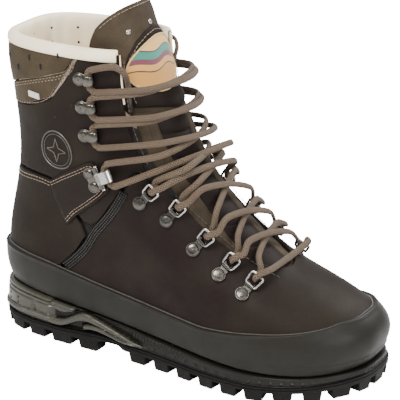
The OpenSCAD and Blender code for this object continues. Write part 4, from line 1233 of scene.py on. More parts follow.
def make_outsole():
    """Tread: a plate with a hollow waist, rounded lugs and a thin lip along its top."""
    u = np.arange(AROUND_SOLE // 2) * 32 / AROUND_SOLE
    base_out = lookup(fold(u), TREAD_OUT)

    def loop(out, table, lift, hollow=0.0):
        p = outline(u, base_out + out)
        waist = between(p[:, 0], WAIST[0], WAIST[0] + WAIST_SLOPE, WAIST[1] - WAIST_SLOPE, WAIST[1])
        p[:, 2] = height_at(p[:, 0], table) + lift + hollow * waist
        return p

    loops = np.array([
        loop(-2.2, GROUND, LUG_H, 3), loop(-0.7, GROUND, LUG_H + 0.3, 3),
        loop(0, GROUND, LUG_H + 0.8, 3), loop(0.1, TREAD_TOP, -1.9), loop(-0.5, TREAD_TOP, -1.7),
        loop(-0.5, TREAD_TOP, -1.4), loop(0.2, TREAD_TOP, -1.1), loop(0.2, TREAD_TOP, -0.5),
        loop(-0.3, TREAD_TOP, -0.1), loop(-1.6, TREAD_TOP, 0.1),
    ])
    plate = sole_stack("tread_plate", loops, MATERIALS["tread_rubber"])
    finish_piece(plate, "boot", "tread_rubber", "outsole")
    lugs = Heap()
    for u0, u1 in EDGE_LUGS:
        for ends in ((u0, u1), (16 - u1, 16 - u0)):
            lugs.add(lug_corners(*ends, EDGE_LUG_DEPTH), BOX_FACES)
    lugs.add(lug_corners(*TOE_LUG, EDGE_LUG_DEPTH), BOX_FACES)
    for x, y in MID_LUGS:
        for s in SIDES:
            lugs.add(mid_lug_corners(x, y * 0.5 + s * 12, s * MID_LUG_TURN), BOX_FACES)
    piece = lugs.piece("tread_lugs", MATERIALS["tread_rubber"], 50)
    round_edges(piece, 0.0007)
    finish_piece(piece, "boot", "tread_rubber")


def round_edges(piece, width):
    """Bevels the sharp edges of a piece and applies the result."""
    modifier = piece.modifiers.new("rounding", "BEVEL")
    modifier.width = width
    modifier.segments = 2
    modifier.limit_method = "ANGLE"
    modifier.angle_limit = math.radians(30)
    graph = bpy.context.evaluated_depsgraph_get()
    mesh = bpy.data.meshes.new_from_object(piece.evaluated_get(graph))
    piece.modifiers.clear()
    old = piece.data
    piece.data = mesh
    bpy.data.meshes.remove(old)


# ======== upper ========
STITCHES = {"light": Heap(), "brown": Heap(), "dark": Heap()}


def sew(colour, rows, length=2.4, gap=1.1, radius=0.32):
    """Adds rows of stitches, each given as a line and its normals."""
    for line, normal in rows:
        add_stitches(STITCHES[colour], line, normal, length, gap, radius)


def seam_rows(side, places, shifts, lift=0.0):
    """Rows side by side along a line of (u, v) places."""
    return [surface_line(side, places, lift, shift) for shift in shifts]


# lines on the upper along which rows of stitches run
THROAT_EDGE = [(2.74, 6.9), (2.74, 8), (2.74, 9), (2.74, 9.85)]
VAMP_EDGE = [(1.5, 4.0), (1.75, 4.4), (1.98, 4.95), (2.24, 5.6), (2.5, 6.15)]
SEAM = [(3.62, 6.02), (4.2, 5.12), (4.8, 4.07), (5.2, 3.02), (5.56, 2.05)]
STRAP_ROW_UP = [(5.5, 5.42), (5.1, 5.86), (4.6, 6.3), (4.2, 6.58), (4.02, 6.45), (3.96, 6.25)]
STRAP_ROW_LOW = [(5.33, 4.05), (5.06, 4.6), (4.6, 5.26), (4.27, 5.68), (4.06, 5.95)]
HEEL_ROW = [(5.55, 5.42), (5.9, 5.4), (6.68, 5.2), (7.4, 5.16), (8, 5.15)]
COLLAR_BORDER = [(3.95, 9.9), (4.09, 9.62), (4.44, 8.9), (4.96, 8.22), (5.74, 7.87), (6.8, 7.69),
                 (8, 7.64)]
COLLAR_SEAM = [(3.98, 9.98), (4.1, 9.68), (4.35, 9.14), (5.15, 8.76), (6.78, 8.19), (8, 8.09)]


def make_vamp():
    """Forefoot leather, with one row of stitches along each side of the throat."""
    rows = [surface_line(side, VAMP_EDGE, shift=-3.4) for side in SIDES]
    piece = leather_panel("vamp_leather", panel_places(-6, 6, FLOOR, VAMP_TOP, 2.6, 560, 110),
                          MATERIALS["dark_leather"], rows=rows)
    finish_piece(piece, "boot", "dark_leather", "vamp")
    sew("dark", rows)


def make_heel_panel():
    """Leather round the heel, with two rows along its top edge."""
    rows = []
    for side in SIDES:
        rows += seam_rows(side, HEEL_ROW, (1.2, 3.8))
    piece = leather_panel(
        "heel_leather", panel_places(5.08, 10.92, HEEL_LOW, HEEL_TOP, 2.2, 190, 90),
        MATERIALS["dark_leather"], rows=rows)
    finish_piece(piece, "boot", "dark_leather", "heel_panel")
    sew("light", rows, 2.0, 1.0, 0.3)


def make_quarter(side):
    """Ankle leather of one side, with rows along the throat and the top edge."""
    f = np.linspace(4, 8, 90)
    border_line = np.stack([f, lookup(f, QUARTER_TOP)], -1)
    rows = [surface_line(side, THROAT_EDGE, shift=-3.2),
            surface_line(side, border_line, shift=-2.0, per_span=1)]
    u, v = panel_places(2.74, 7.98, QUARTER_LOW, QUARTER_TOP, 2.2, 110, 85)
    piece = leather_panel(f"quarter_leather_{SIDE_NAMES[side]}", (on_side(side, u), v),
                          MATERIALS["dark_leather"], rows=rows)
    finish_piece(piece, "boot", "dark_leather", f"quarter_{SIDE_NAMES[side]}")
    sew("brown", rows[:1])
    sew("brown", rows[1:], 2.2, 1.0, 0.3)


def collar_relief(u, v):
    """Soft pads between the seams of the collar."""
    f = fold(u)
    low, high = lookup(f, COLLAR_SPLIT), 10.0
    t = np.clip((v - low) / np.maximum(high - low, 0.1), 0, 1)
    return 1.1 * np.sin(t * math.pi) ** 0.7 * step_curve(high - low, 0.2, 0.9)


def make_collar_panels():
    """The two olive panels of the collar, lower and upper."""
    lower_rows, upper_rows = [], []
    for side in SIDES:
        lower_rows += seam_rows(side, COLLAR_BORDER, (1.0,))
        upper_rows += seam_rows(side, COLLAR_SEAM, (1.6, 3.4))
    low = leather_panel(
        "collar_leather_lower", panel_places(4.06, 11.94, COLLAR_LOW, COLLAR_SPLIT, 2.2, 200, 16),
        MATERIALS["olive_leather"], outer=0.35, rows=lower_rows)
    finish_piece(low, "boot", "olive_leather", "collar_panel_lower")
    top_low = [(f, v + 0.04) for f, v in COLLAR_SPLIT]
    top = leather_panel(
        "collar_leather_upper", panel_places(3.98, 12.02, top_low, COLLAR_TOP, 2.2, 200, 34),
        MATERIALS["olive_leather"], outer=0.5, rows=upper_rows, relief=collar_relief)
    finish_piece(top, "boot", "olive_leather", "collar_panel_upper")
    sew("light", lower_rows + upper_rows, 2.2, 1.0, 0.3)


def strap_places(side):
    """Grid of (u, v) places on the strap that holds the locking hook."""
    low, high = smooth_line(STRAP_LOW, 8), smooth_line(STRAP_UP, 8)
    grid = mix(low[:, None], high[:, None], stops(30, 2)[:, None])
    return on_side(side, grid[..., 0]), grid[..., 1]


def make_strap(side):
    """Leather strap of one side that carries the locking hook."""
    rows = seam_rows(side, STRAP_ROW_UP, (0, -1.9)) + seam_rows(side, STRAP_ROW_LOW, (0, 1.9))
    lifted = [(line + normal * (GAP + STRAP_T), normal) for line, normal in rows]
    piece = leather_panel(f"strap_leather_{SIDE_NAMES[side]}", strap_places(side),
                          MATERIALS["dark_leather"], outer=GAP + STRAP_T, inner=0.1,
                          rows=lifted)
    finish_piece(piece, "boot", "dark_leather", f"ankle_strap_{SIDE_NAMES[side]}")
    sew("light", lifted, 2.1, 1.0, 0.28)


BAND_HALF = 4.3
BAND_HEIGHTS = (-1.6, 0.6)
BAND_ROUGHNESS = 0.07
BAND_ROWS = (-2.6, -0.9, 0.9, 2.6)
BAND_STATIONS = [-1, -0.97, -0.9, -0.75, -0.5, -0.25, 0, 0.25, 0.5, 0.75, 0.9, 0.97, 1]


def make_seam_bands(side):
    """Coarse band over the seam between the vamp and the quarter, with rows of stitches."""
    low, high = BAND_HEIGHTS
    line, normal = resample_both(*surface_line(side, SEAM), 0.7)
    across = unit(np.cross(normal, tangents(line)))
    s = np.array(BAND_STATIONS)
    drop = (high - low) * (1 - np.sqrt(np.maximum(0, 1 - np.abs(s) ** 6)))
    lift = high - drop + RANDOM.normal(0, BAND_ROUGHNESS, (len(line), len(s)))
    flat = line[:, None] + across[:, None] * (s * BAND_HALF)[:, None]
    band = shell(f"seam_band_{SIDE_NAMES[side]}", flat + normal[:, None] * lift[..., None],
                 flat + normal[:, None] * low, MATERIALS["seam_rubber"])
    finish_piece(band, "boot", "rand_rubber")
    sew("dark", seam_rows(side, SEAM, BAND_ROWS, high), 0.9, 1.0, 0.24)


RAND_LOW = [(0, 0.06), (8, 0.06)]
RAND_OUT = 0.9 + RAND_T


def rand_relief(u, v):
    """A lip along the top edge and a second one low round the toe."""
    f = fold(u)
    top = lookup(f, RAND_TOP)
    lip = 0.45 * bump_curve(v, top - 0.07, 0.06)
    toe = 1 - step_curve(f, 1.8, 3.4)
    bumper = 0.9 * toe * (1 - step_curve(v, 0.62, 0.74))
    return lip + bumper + 0.25 * bump_curve(v, top * 0.5, top * 0.5)


def make_rand():
    """Rubber strip all round the foot, and the thin lighter line along its top: adhesive, with a
    painted highlight of the top edge.
    """
    u = np.arange(520) * 16 / 520
    places = places_between(u, stops(40, 1.1), RAND_LOW, RAND_TOP)
    piece = leather_panel("rand_strip", places, MATERIALS["rand_rubber"], outer=RAND_OUT,
                          inner=0.2, radius=1.0, wrap=True, relief=rand_relief)
    finish_piece(piece, "boot", "rand_rubber", "rand")
    # painted highlight: the line is lighter than the rand, for the light on its top edge as well as
    # the adhesive
    adhesive_and_highlight = Heap()
    adhesive_and_highlight.add_tube(skin(u, lookup(fold(u), RAND_TOP) + 0.01, 0.25), 0.55, 6, closed=True)
    finish_piece(adhesive_and_highlight.piece("rand_edge_line", MATERIALS["dark_thread"]), "boot", "rand_rubber")


# ---- collar lining: a padded roll over the top edge, inside the shaft ----
MM_PER_V = 16.0
# its section: how far above the top edge and how far out; its ends close round the core
ROLL_CORE = -3.0
ROLL = [(-4.6, 0.75), (-4.5, 1.35), (-3.6, 1.75), (-1.6, 1.8), (0.2, 1.4), (1.5, 0.4), (2.3, -1.2),
        (2.6, -3), (2.4, -4.8), (1.4, -6.3), (-0.4, -7.2), (-4, -7.5), (-10, -7.6), (-17, -7.5),
        (-24, -7.4), (-27.5, -7), (-28.6, -5.4), (-28.2, -3.4), (-26.5, -2.6), (-18, -2.5),
        (-8, -2.5), (-2, -2.45), (-0.2, -2.2), (0.15, -1.2), (0.1, 0), (-0.6, 0.7), (-2.6, 0.8)]


def make_collar_lining():
    """Cream padded lining that rolls over the top edge and hangs down inside."""
    u = np.linspace(2.8, 13.2, 260)[:, None]
    rise, out = np.array(ROLL).T
    end = np.minimum(u - u[0], u[-1] - u) * 10
    shrink = np.sqrt(np.clip(1 - (1 - np.clip(end, 0, 1)) ** 2, 0.02, 1))
    d = mix(ROLL_CORE, out, shrink) - 0.35 * np.sin(u * 9) * (out < -6.5)
    points = skin(*np.broadcast_arrays(u, 10 + rise / MM_PER_V), d)
    faces = facing_out(points.reshape(-1, 3), stack_faces(*points.shape[:2]))
    piece = make_object("collar_roll", points, faces, MATERIALS["cream_leather"], 60)
    finish_piece(piece, "boot", "cream_leather", "collar_lining")
    edge = Heap()
    for side in SIDES:
        line, _ = surface_line(side, [(2.76, 9.98), (2.75, 9.5), (2.74, 9.0), (2.74, 8.4)], -1.6)
        edge.add_tube(line, 1.15, 10)
    finish_piece(edge.piece("throat_piping", MATERIALS["cream_leather"]), "boot", "cream_leather")


BOOTIE_LOW = [(0, 0.12), (8, 0.12)]
BOOTIE_TOP = [(0, 3.15), (1, 3.2), (1.9, 3.6), (2.3, 4.4), (2.6, 5.3), (2.9, 6.3), (3.1, 7.2),
              (3.3, 8.15), (8, 8.15)]
# inside the leather, with a stiffener 1.2 mm thick and a space of 0.6 mm on both its sides
BOOTIE_OUT = -LEATHER_T - 0.6 - 1.2 - 0.6


def make_bootie():
    """Thin lining of the whole foot and shaft."""
    rows, columns = 200, 42
    places = places_between(np.arange(rows) * 16 / rows, np.linspace(0, 1, columns), BOOTIE_LOW,
                            BOOTIE_TOP)
    piece = shell("bootie_knit", skin(*places, BOOTIE_OUT), skin(*places, BOOTIE_OUT - BOOTIE_T),
                  MATERIALS["lining_fabric"], wrap=True)
    piece.data.materials.append(MATERIALS["membrane"])
    for face in piece.data.polygons[:rows * (columns - 1)]:
        face.material_index = 1
    finish_piece(piece, "boot", "lining_fabric", "bootie_lining")


# lower and upper edge of the gusset
GUSSET_EDGES = ([(2, 4.9), (2.4, 5.4), (3, 6.9)], [(2, 7.7), (3, 7.9)])


def make_gusset(side):
    """Folded bellows between the tongue and the quarter."""
    u, v = panel_places(2.3, 2.98, *GUSSET_EDGES, 1.0, 16, 60)

    def folds(u, _):
        return 0.35 * np.sin(fold(u) * 30)

    name = SIDE_NAMES[side]
    piece = leather_panel(f"gusset_folds_{name}", (on_side(side, u), v),
                          MATERIALS["gusset_fabric"], outer=-2.7, inner=-3.4, radius=0.3,
                          relief=folds)
    finish_piece(piece, "boot", "gusset_fabric", f"gusset_{name}")


# ======== tongue ========
# half width of the tongue by height
TONGUE_HALF = [(3.75, 1.25), (4.2, 1.6), (4.6, 1.85), (5.2, 2.1), (5.8, 2.24), (7.5, 2.3),
               (8.1, 2.55), (8.7, 2.85), (9.4, 3.0), (10.4, 3.15), (11.1, 3.25), (11.5, 3.2),
               (11.8, 3.02), (11.95, 2.7)]
TONGUE_LOW_V = 3.75
TONGUE_TOP_V = 11.95
TONGUE_LEAN = math.radians(17)
TONGUE_ROUND = 1.9
# the middle of its flex line, and how far above and below it the bend reaches
BEND_AT = skin(0.0, 7.98, TONGUE_OUT - 2.4)


def tongue_skin(u, v, d):
    """The tongue's face: close to the upper below the bend, turned in and leaning back above it."""
    f = fold(u)
    turn = step_curve(v, 7.55, 8.35)
    p = skin(u, v, TONGUE_OUT - (0.4 + 0.6 * f * f) * turn + d)
    lean = TONGUE_LEAN * step_curve(v, 7.55, 8.8)
    x, z = p[..., 0] - BEND_AT[0], p[..., 2] - BEND_AT[2]
    return np.stack([
        BEND_AT[0] + x * np.cos(lean) - z * np.sin(lean),
        p[..., 1],
        BEND_AT[2] + x * np.sin(lean) + z * np.cos(lean),
    ], -1)


def bend_piece(piece):
    """Bakes the transform of a piece of the tongue into its mesh and leaves it on no body."""
    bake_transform(piece)


def tongue_grid(half, low, high, columns, rows):
    """Places of a strip of the tongue between two half widths, from low to high."""
    s = np.linspace(-1, 1, columns)
    t = stops((high - low) * 19, 19 * (high - low) / rows)
    v = low + (high - low) * t
    width = np.interp(v, *zip(*half)) if isinstance(half, list) else np.full(len(v), half)
    u = s[:, None] * width[None, :]
    return u, np.repeat(v[None, :], columns, 0)


def tongue_top_drop(u):
    """How far the top edge of the tongue falls away from its middle."""
    return 0.0095 * u**4


def make_tongue():
    """Padded tongue, one piece from the toe end of the throat to above the collar."""
    u, v = tongue_grid(TONGUE_HALF, TONGUE_LOW_V, TONGUE_TOP_V, 61, 110)
    v = v - tongue_top_drop(u) * step_curve(v, 9, TONGUE_TOP_V)
    distance = edge_distance(tongue_skin(u, v, 0.0))
    roll = rounded_drop(distance, TONGUE_ROUND)
    puff = 0.9 * step_curve(v, 8.3, 9.0) * np.clip(distance / 7, 0, 1)
    outer = tongue_skin(u, v, puff - roll)
    inner = tongue_skin(u, v, roll - TONGUE_T - puff * 0.3)
    piece = shell("tongue_body", outer, inner, MATERIALS["tongue_leather"])
    finish_piece(piece, BENDING, "olive_leather", "tongue", "tongue_top")


# seams between the quilted pads, by height
PAD_STOPS = [4.35, 4.95, 5.5, 6.05, 6.6, 7.15, 7.7, 8.15]
PAD_HALF = 1.02
# strips beside the pads: middle, half width and height, from the outer side to the inner side
STRIPS = [(1.48, 0.13, 1.5), (1.2, 0.13, 1.9), (-1.17, 0.13, 1.9), (-1.47, 0.14, 1.6)]


def pad_shift(v):
    """The row of pads lies towards the outer side, a little more so higher up."""
    return 0.6 + 0.2 * step_curve(v, 6, 7.5)


def make_tongue_pads():
    """Quilted dark cushions down the middle of the tongue, and the rolled strips beside them."""
    def cushions(w, v):
        across = np.clip(1 - (np.abs(w) / PAD_HALF) ** 3.2, 0, 1)
        along = np.zeros_like(v)
        for a, b in zip(PAD_STOPS[:-1], PAD_STOPS[1:]):
            t = np.clip((v - a) / (b - a), 0, 1)
            along += np.clip(4 * t * (1 - t), 0, 1) ** 0.5
        return 1.7 * across**0.6 * along

    w, v = tongue_grid(PAD_HALF, PAD_STOPS[0], PAD_STOPS[-1], 45, 150)
    u = w + pad_shift(v)
    outer = tongue_skin(u, v, 0.3 + cushions(w, v))
    piece = shell("tongue_pads", outer, tongue_skin(u, v, -0.4), MATERIALS["dark_leather"])
    finish_piece(piece, BENDING, "dark_leather", "tongue_cover")
    strips = Heap()
    v = np.linspace(4.42, 8.25, 120)
    s = np.linspace(-1, 1, 15)
    for middle, half, height in STRIPS:
        rows = np.repeat(v[None, :], len(s), 0)
        places = middle + pad_shift(rows) + s[:, None] * half * 1.75
        roll = height * np.sqrt(np.clip(1 - np.abs(s) ** 2.6, 0, 1))[:, None] - 0.25 + 0 * rows
        strips.add(*sheet_solid(tongue_skin(places, rows, roll), tongue_skin(places, rows, -0.5)))
    piece = strips.piece("tongue_strips", MATERIALS["tongue_leather"])
    finish_piece(piece, BENDING, "olive_leather")


# the dark panel: its half width, and its lower and upper edge by distance from the middle
COVER_HALF = 2.3
COVER_LOW = [(0, 8.2), (2.3, 8.45)]
COVER_TOP = [(0, 10.95), (0.8, 10.85), (1.4, 10.6), (1.9, 10.15), (2.2, 9.6), (2.3, 9.2)]


def make_tongue_cover():
    """Dark panel with a round top, sewn on the upper tongue."""
    s = np.linspace(-1, 1, 61)
    u = np.repeat((COVER_HALF * np.sin(s * math.pi / 2))[:, None], 60, 1)
    low = np.interp(np.abs(u), *zip(*COVER_LOW))
    high = np.interp(np.abs(u), *zip(*COVER_TOP))
    v = low + (high - low) * np.linspace(0, 1, 60)[None, :]
    distance = edge_distance(tongue_skin(u, v, 0.0))
    puff = 0.6 * np.clip(distance / 6, 0, 1)
    outer = tongue_skin(u, v, 1.9 - rounded_drop(distance, 0.8) + puff)
    piece = shell("tongue_panel", outer, tongue_skin(u, v, 0.2), MATERIALS["dark_leather"])
    finish_piece(piece, "upper_tongue", "dark_leather", "tongue_top_cover")


# middle, half width and half height of the patch, how much it slants, and how far it stands out
LABEL_U, LABEL_V, LABEL_A, LABEL_B = 0.35, 9.65, 1.75, 0.92
LABEL_SLANT = 0.35
LABEL_LIFT = 3.5
LABEL_T = 1.1


def label_skin(a, b, lift):
    """Points of the patch; a and b go from -1 to 1 across and up."""
    return tongue_skin(LABEL_U + LABEL_A * a - LABEL_SLANT * b, LABEL_V + LABEL_B * b, lift)


def make_label():
    """Oval embroidered patch with plain abstract bands and a corded edge."""
    angle = angles_round(96)
    r = np.linspace(0.02, 1, 24)[:, None]
    a, b = r * np.cos(angle), r * np.sin(angle)
    lift = LABEL_LIFT + 0.25 * (1 - r**4) + 0 * a
    loops = np.concatenate([label_skin(a, b, lift), label_skin(a, b, lift - LABEL_T)[::-1]])
    faces = facing_out(loops.reshape(-1, 3), stack_faces(*loops.shape[:2]))
    across_up = np.stack([a, b], -1)
    uv = np.concatenate([across_up, across_up[::-1]])
    piece = make_object("tongue_badge", loops, faces, MATERIALS["label_cloth"], 50, uv)
    finish_piece(piece, "upper_tongue", "label_cloth", "tongue_label")
    rim = Heap()
    rim.add_tube(label_skin(np.cos(angle), np.sin(angle), LABEL_LIFT), 0.75, 8, closed=True)
    finish_piece(rim.piece("badge_rim", MATERIALS["badge_edge"]), "upper_tongue", "label_cloth")


def make_tongue_stitches():
    """Rows round the dark panel and along the top edge of the tongue."""
    heap = Heap()
    arc = [(w, float(np.interp(abs(w), *zip(*COVER_TOP))) - 0.16)
           for w in np.linspace(-2.05, 2.05, 25)]
    top = [(w, TONGUE_TOP_V - tongue_top_drop(w) - 0.12) for w in np.linspace(-2.6, 2.6, 31)]
    sides = [[(side * 2.16, 8.55), (side * 2.16, 8.9), (side * 2.14, 9.3)] for side in SIDES]
    for line, lift, per_span, radius in (
            (arc, 2.1, 6, 0.3), (sides[0], 2.1, 8, 0.3), (sides[1], 2.1, 8, 0.3),
            (top, 0.7, 6, 0.28)):
        row = surface_line(1, line, lift, per_span=per_span, position=tongue_skin)
        add_stitches(heap, *row, 2.2, 1.0, radius)
    finish_piece(heap.piece("tongue_panel_stitches", MATERIALS["light_thread"]), "upper_tongue",
                 "dark_leather")


# ======== trim ========
def local_places(side, centre, xs, ys):
    """(u, v) of points given in mm from a centre, x towards the throat and y up the boot."""
    e = 0.01
    u0, v0 = on_side(side, centre[0]), centre[1]
    p, n = surface(u0, v0)
    du = (surface(u0 + e, v0)[0] - p) / e
    dv = (surface(u0, v0 + e)[0] - p) / e
    up = unit(np.array([0, 0, 1.0]) - n * n[2])
    ahead = np.cross(up, n)
    ahead = ahead if ahead[0] > 0 else -ahead
    offset = np.asarray(xs)[..., None] * ahead + np.asarray(ys)[..., None] * up
    solve = np.linalg.pinv(np.stack([du, dv], -1))
    step = offset @ solve.T
    return u0 + step[..., 0], v0 + step[..., 1]


# middle and radius of the stamped ring, and how far out the points of its star reach
EMBLEM = (5.1, 6.68)
EMBLEM_R = 14.3
STAR_TIP = 9
STAR_WAIST = 2.2


def make_emblem():
    """Stamped round mark on the outer ankle: a plain ring with a four-pointed compass star, its
    raised lines coloured light as a painted highlight.
    """
    heap = Heap()
    angle = angles_round(72)
    for radius, wire in ((EMBLEM_R, 0.6), (EMBLEM_R - 2.2, 0.3)):
        places = local_places(1, EMBLEM, radius * np.cos(angle), radius * np.sin(angle))
        heap.add_tube(skin(*places, 0.12), wire, 8, closed=True)
    x = np.linspace(STAR_TIP, STAR_WAIST, 14)
    for turn in np.arange(4) * math.pi / 2:
        for side in SIDES:
            y = side * np.linspace(0, STAR_WAIST, 14)
            places = local_places(1, EMBLEM, x * math.cos(turn) - y * math.sin(turn),
                                  x * math.sin(turn) + y * math.cos(turn))
            heap.add_tube(skin(*places, 0.1), 0.42, 8)
    finish_piece(heap.piece("ankle_mark", MATERIALS["stamp_highlight"]), "boot", "dark_leather")


HOLES = [(6.28, 7.2), (5.55, 7.4), (4.85, 7.7), (4.25, 8.15)]
SLOT_RADII = [0.35, 0.7, 0.85, 0.9, 0.9, 0.9, 0.85, 0.7, 0.35]
SLOT_HALF = 2.2
SLOTS = [(6.5, 9.18), (5.43, 9.4), (4.48, 9.75), (5.95, 8.9), (5.05, 9.15)]
LINING_HOLES = [(u, v) for u in (4.6, 5.8, 7, 8, 9, 10.2, 11.4) for v in (9.55, 8.95)]


def make_holes():
    """Painted shade in place of the vent holes under the collar, the short slots in the collar and
    the holes of the lining: dark domes and bars on the surface.
    """
    heap = Heap()
    for side in SIDES:
        for u, v in HOLES:
            p, n = surface(on_side(side, u), v)
            heap.add(*dome(p + n * 0.02, n, 1.0, 0.12))
        for u, v in SLOTS:
            ys = np.linspace(-SLOT_HALF, SLOT_HALF, len(SLOT_RADII))
            su, sv = local_places(side, (u, v), 0 * ys, ys)
            line = skin(su, sv, 0.55 + collar_relief(su, sv))
            heap.add_tube(line, SLOT_RADII, 8, surface(su, sv)[1])
    for u, v in LINING_HOLES:
        _, n = surface(u, v)
        heap.add(*dome(skin(u, v, -7.55), -n, 0.9, 0.15))
    finish_piece(heap.piece("vent_hole_shade", MATERIALS["hole_shade"]), "boot", "olive_leather")


TAG_U = (5.26, 5.64)
TAG_LOW = [(5, 8.07), (6, 8.07)]
TAG_TOP = [(5, 8.23), (6, 8.23)]


def make_tag():
    """Small woven tag sewn in under the collar, left blank."""
    places = panel_places(*TAG_U, TAG_LOW, TAG_TOP, 0.6, 9, 5)
    piece = leather_panel("side_tag_cloth", places, MATERIALS["tag_cloth"], outer=1.5, inner=0.3,
                          radius=0.4)
    finish_piece(piece, "boot", "tag_cloth", "side_tag")


STUDS = [(1.6, 11.0), (0.05, 11.1)]
STUD_R, STUD_H = 2.0, 1.1


def make_studs():
    """Two small studs at the top of the tongue."""
    heap = Heap()
    for u, v in STUDS:
        p = tongue_skin(u, v, 1.2)
        n = unit(tongue_skin(u, v, 2.2) - p)
        heap.add(*dome(p, n, STUD_R, STUD_H, 20, 5))
    finish_piece(heap.piece("tongue_stud_heads", MATERIALS["bright_metal"]), "upper_tongue",
                 "bright_metal", "tongue_studs")


# a ring: half widths at its bar and at its tip, and radius of its corners
RING_HALF_BAR, RING_HALF_TIP, RING_CORNER = 4.6, 5.2, 1.7


def make_ring(side, k):
    """Wire ring that swings in its clip."""
    f = fitting_frame(side, *CLIPS[k], PLATE_LIFT)
    corners = [(RING_LEN, RING_HALF_TIP, 0), (0, RING_HALF_BAR, 90), (0, -RING_HALF_BAR, 180),
               (RING_LEN, -RING_HALF_TIP, 270)]
    r = RING_CORNER
    flat = []
    for x, y, start in corners:
        cx, cy = x - math.copysign(r, x - RING_LEN / 2), y - math.copysign(r, y)
        for step in np.linspace(0, 90, 9):
            a = math.radians(start + step)
            flat.append((cx + r * math.cos(a), cy + r * math.sin(a)))
    ahead = f[1] * math.cos(RING_TILT) + f[3] * math.sin(RING_TILT)
    bar = in_frame(f, (RING_BAR_T, 0, RING_BAR_N))
    line = np.array([bar + ahead * x + f[2] * y for x, y in flat])
    heap = Heap()
    heap.add_tube(line, RING_WIRE_D / 2, 14, np.cross(ahead, f[2]), closed=True)
    name = f"{SIDE_NAMES[side]}_{k + 1}"
    piece = heap.piece(f"wire_ring_{name}", MATERIALS["bright_metal"])
    finish_piece(piece, f"ring_{name}", "bright_metal", f"lace_ring_{name}")


# middle line of a hook's strip, towards the throat and outwards; its half width, the narrower
# half widths at its tip, and its thickness as a share of its width
HOOK_LINE = [(-1, 0.85), (1.5, 0.85), (3.2, 0.9), (5, 1.5), (6.3, 3), (6.6, 4.3), (6.2, 5.8),
             (5, 7.2), (3.2, 7.8), (1, 7.75), (-0.6, 7.3)]
HOOK_HALF = 3.5
HOOK_TIP = [3.4, 3.25, 3.0, 2.6, 2.0, 1.1]
HOOK_THIN = 0.17


def make_hooks(side):
    """Three riveted speed hooks: a teardrop plate and a strip that curls back over it."""
    heap = Heap()
    for at, to in HOOKS:
        f = fitting_frame(side, at, to, 0)
        line = np.array([in_frame(f, (t, 0, n)) for t, n in smooth_line(HOOK_LINE, 6)])
        radii = np.full(len(line), HOOK_HALF)
        radii[-len(HOOK_TIP):] = HOOK_TIP
        heap.add_tube(line, radii, 20, f[2], HOOK_THIN)
        heap.add(*riveted_plate(f))
    name = SIDE_NAMES[side]
    finish_piece(heap.piece(f"hooks_{name}", MATERIALS["dark_metal"], 60), "boot", "dark_metal",
                 f"speed_hooks_{name}")


# outline of a hook's plate: centre and radius of its round end, then its narrow end
PLATE_AT, PLATE_R = -5.5, 5
PLATE_END = [(0, -3.5), (2.4, -3.4), (2.4, 3.4), (0, 3.5)]
# heights in the plate, and its size at each
PLATE_LEVELS = ((0, 0.93), (0.3, 1), (0.75, 1), (1.05, 0.93))


def riveted_plate(f):
    """Teardrop plate, round at the rivet and narrow at the hook, with rounded edges."""
    bow = np.radians(np.linspace(50, 310, 27))
    flat = np.array([*zip(PLATE_AT + PLATE_R * np.cos(bow), PLATE_R * np.sin(bow)), *PLATE_END])
    middle = np.array([-4, 0])
    loops = np.array([
        [in_frame(f, (x, y, GAP + lift)) for x, y in mix(middle, flat, size)]
        for lift, size in PLATE_LEVELS
    ])
    points = loops.reshape(-1, 3)
    return points, facing_out(points, stack_faces(*loops.shape[:2]))


# how far the footbed stays inside the feather line, and its under and upper side over it
FOOTBED_IN = -8.0
FOOTBED_LOW, FOOTBED_TOP = 3.9, 7.7


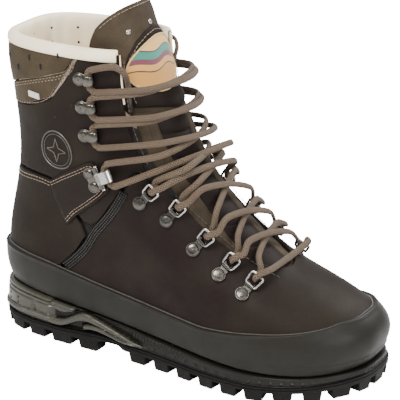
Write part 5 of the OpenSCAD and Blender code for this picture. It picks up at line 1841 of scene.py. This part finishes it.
def make_footbed():
    """Removable footbed with a raised heel cup."""
    u = np.linspace(0.5, 7.5, 90)
    left, right = outline(16 - u, FOOTBED_IN), outline(u, FOOTBED_IN)
    t = np.concatenate([[0, 0.012, 0.035], np.linspace(0.07, 0.93, 28), [0.965, 0.988, 1]])
    line = left[:, None] + (right - left)[:, None] * t[None, :, None]
    width = np.linalg.norm(right - left, axis=-1)[:, None]
    near = np.minimum(t, 1 - t)[None, :] * width
    along = np.minimum(u - u[0], u[-1] - u)[:, None] * 40
    edge = np.minimum(near, along)
    top = line.copy()
    top[..., 2] += FOOTBED_TOP - rounded_drop(edge, 1.2) - 0.5 * np.clip(edge / 18, 0, 1)
    bottom = line.copy()
    bottom[..., 2] += FOOTBED_LOW
    piece = shell("footbed_pad", top, bottom, MATERIALS["footbed_felt"])
    finish_piece(piece, "removable_footbed", "footbed_felt", "footbed")


def make_stitches():
    """The rows of stitches of the whole boot, gathered by colour."""
    for colour, heap in STITCHES.items():
        slot = "olive_leather" if colour == "light" else "dark_leather"
        piece = heap.piece(f"stitches_{colour}", MATERIALS[f"{colour}_thread"])
        finish_piece(piece, "boot", slot)


def dress_metal():
    """Gives the hard CAD nodes that stay their own materials."""
    slots = {part["node"]: part["material_slot"] for part in frame["record"]["subparts"]}
    for name, node in frame["nodes"].items():
        node.data.materials.clear()
        node.data.materials.append(MATERIALS[slots[name]])


def make_floor():
    """Wide pale floor that shows evenly bright to the camera."""
    mesh = bpy.data.meshes.new("floor")
    size = 6
    mesh.from_pydata([(-size, -size, 0), (size, -size, 0), (size, size, 0), (-size, size, 0)], [],
                     [(0, 1, 2, 3)])
    floor = place_in_scene("floor", mesh)
    s = Surface("floor_paper", 0.9, 0.2)
    s.colour(s.blend(s.range(s.noise(3, 2), 0.4, 0.6, 0, 1), (0.93, 0.93, 0.93),
                     (0.96, 0.96, 0.96)))
    seen = s.node("LightPath").outputs["Is Camera Ray"]
    s.shader.inputs["Emission Color"].default_value = (1, 1, 1, 1)
    s.link(s.range(seen, 0, 1, 0, FLOOR_GLOW), s.shader.inputs["Emission Strength"])
    mesh.materials.append(s.material)


def build():
    """Makes everything in a fixed order, which also fixes the random draws."""
    place_camera()
    make_lace()
    light_room()
    make_floor()
    dress_metal()
    make_outsole()
    make_midsole()
    make_vamp()
    make_heel_panel()
    make_collar_panels()
    for side in SIDES:
        make_quarter(side)
        make_strap(side)
        make_seam_bands(side)
        make_gusset(side)
        make_hooks(side)
        for k in range(5):
            make_ring(side, k)
    make_rand()
    make_collar_lining()
    make_bootie()
    make_footbed()
    make_tongue()
    make_tongue_pads()
    make_tongue_cover()
    make_label()
    make_tongue_stitches()
    make_studs()
    make_emblem()
    make_holes()
    make_tag()
    make_stitches()


build()
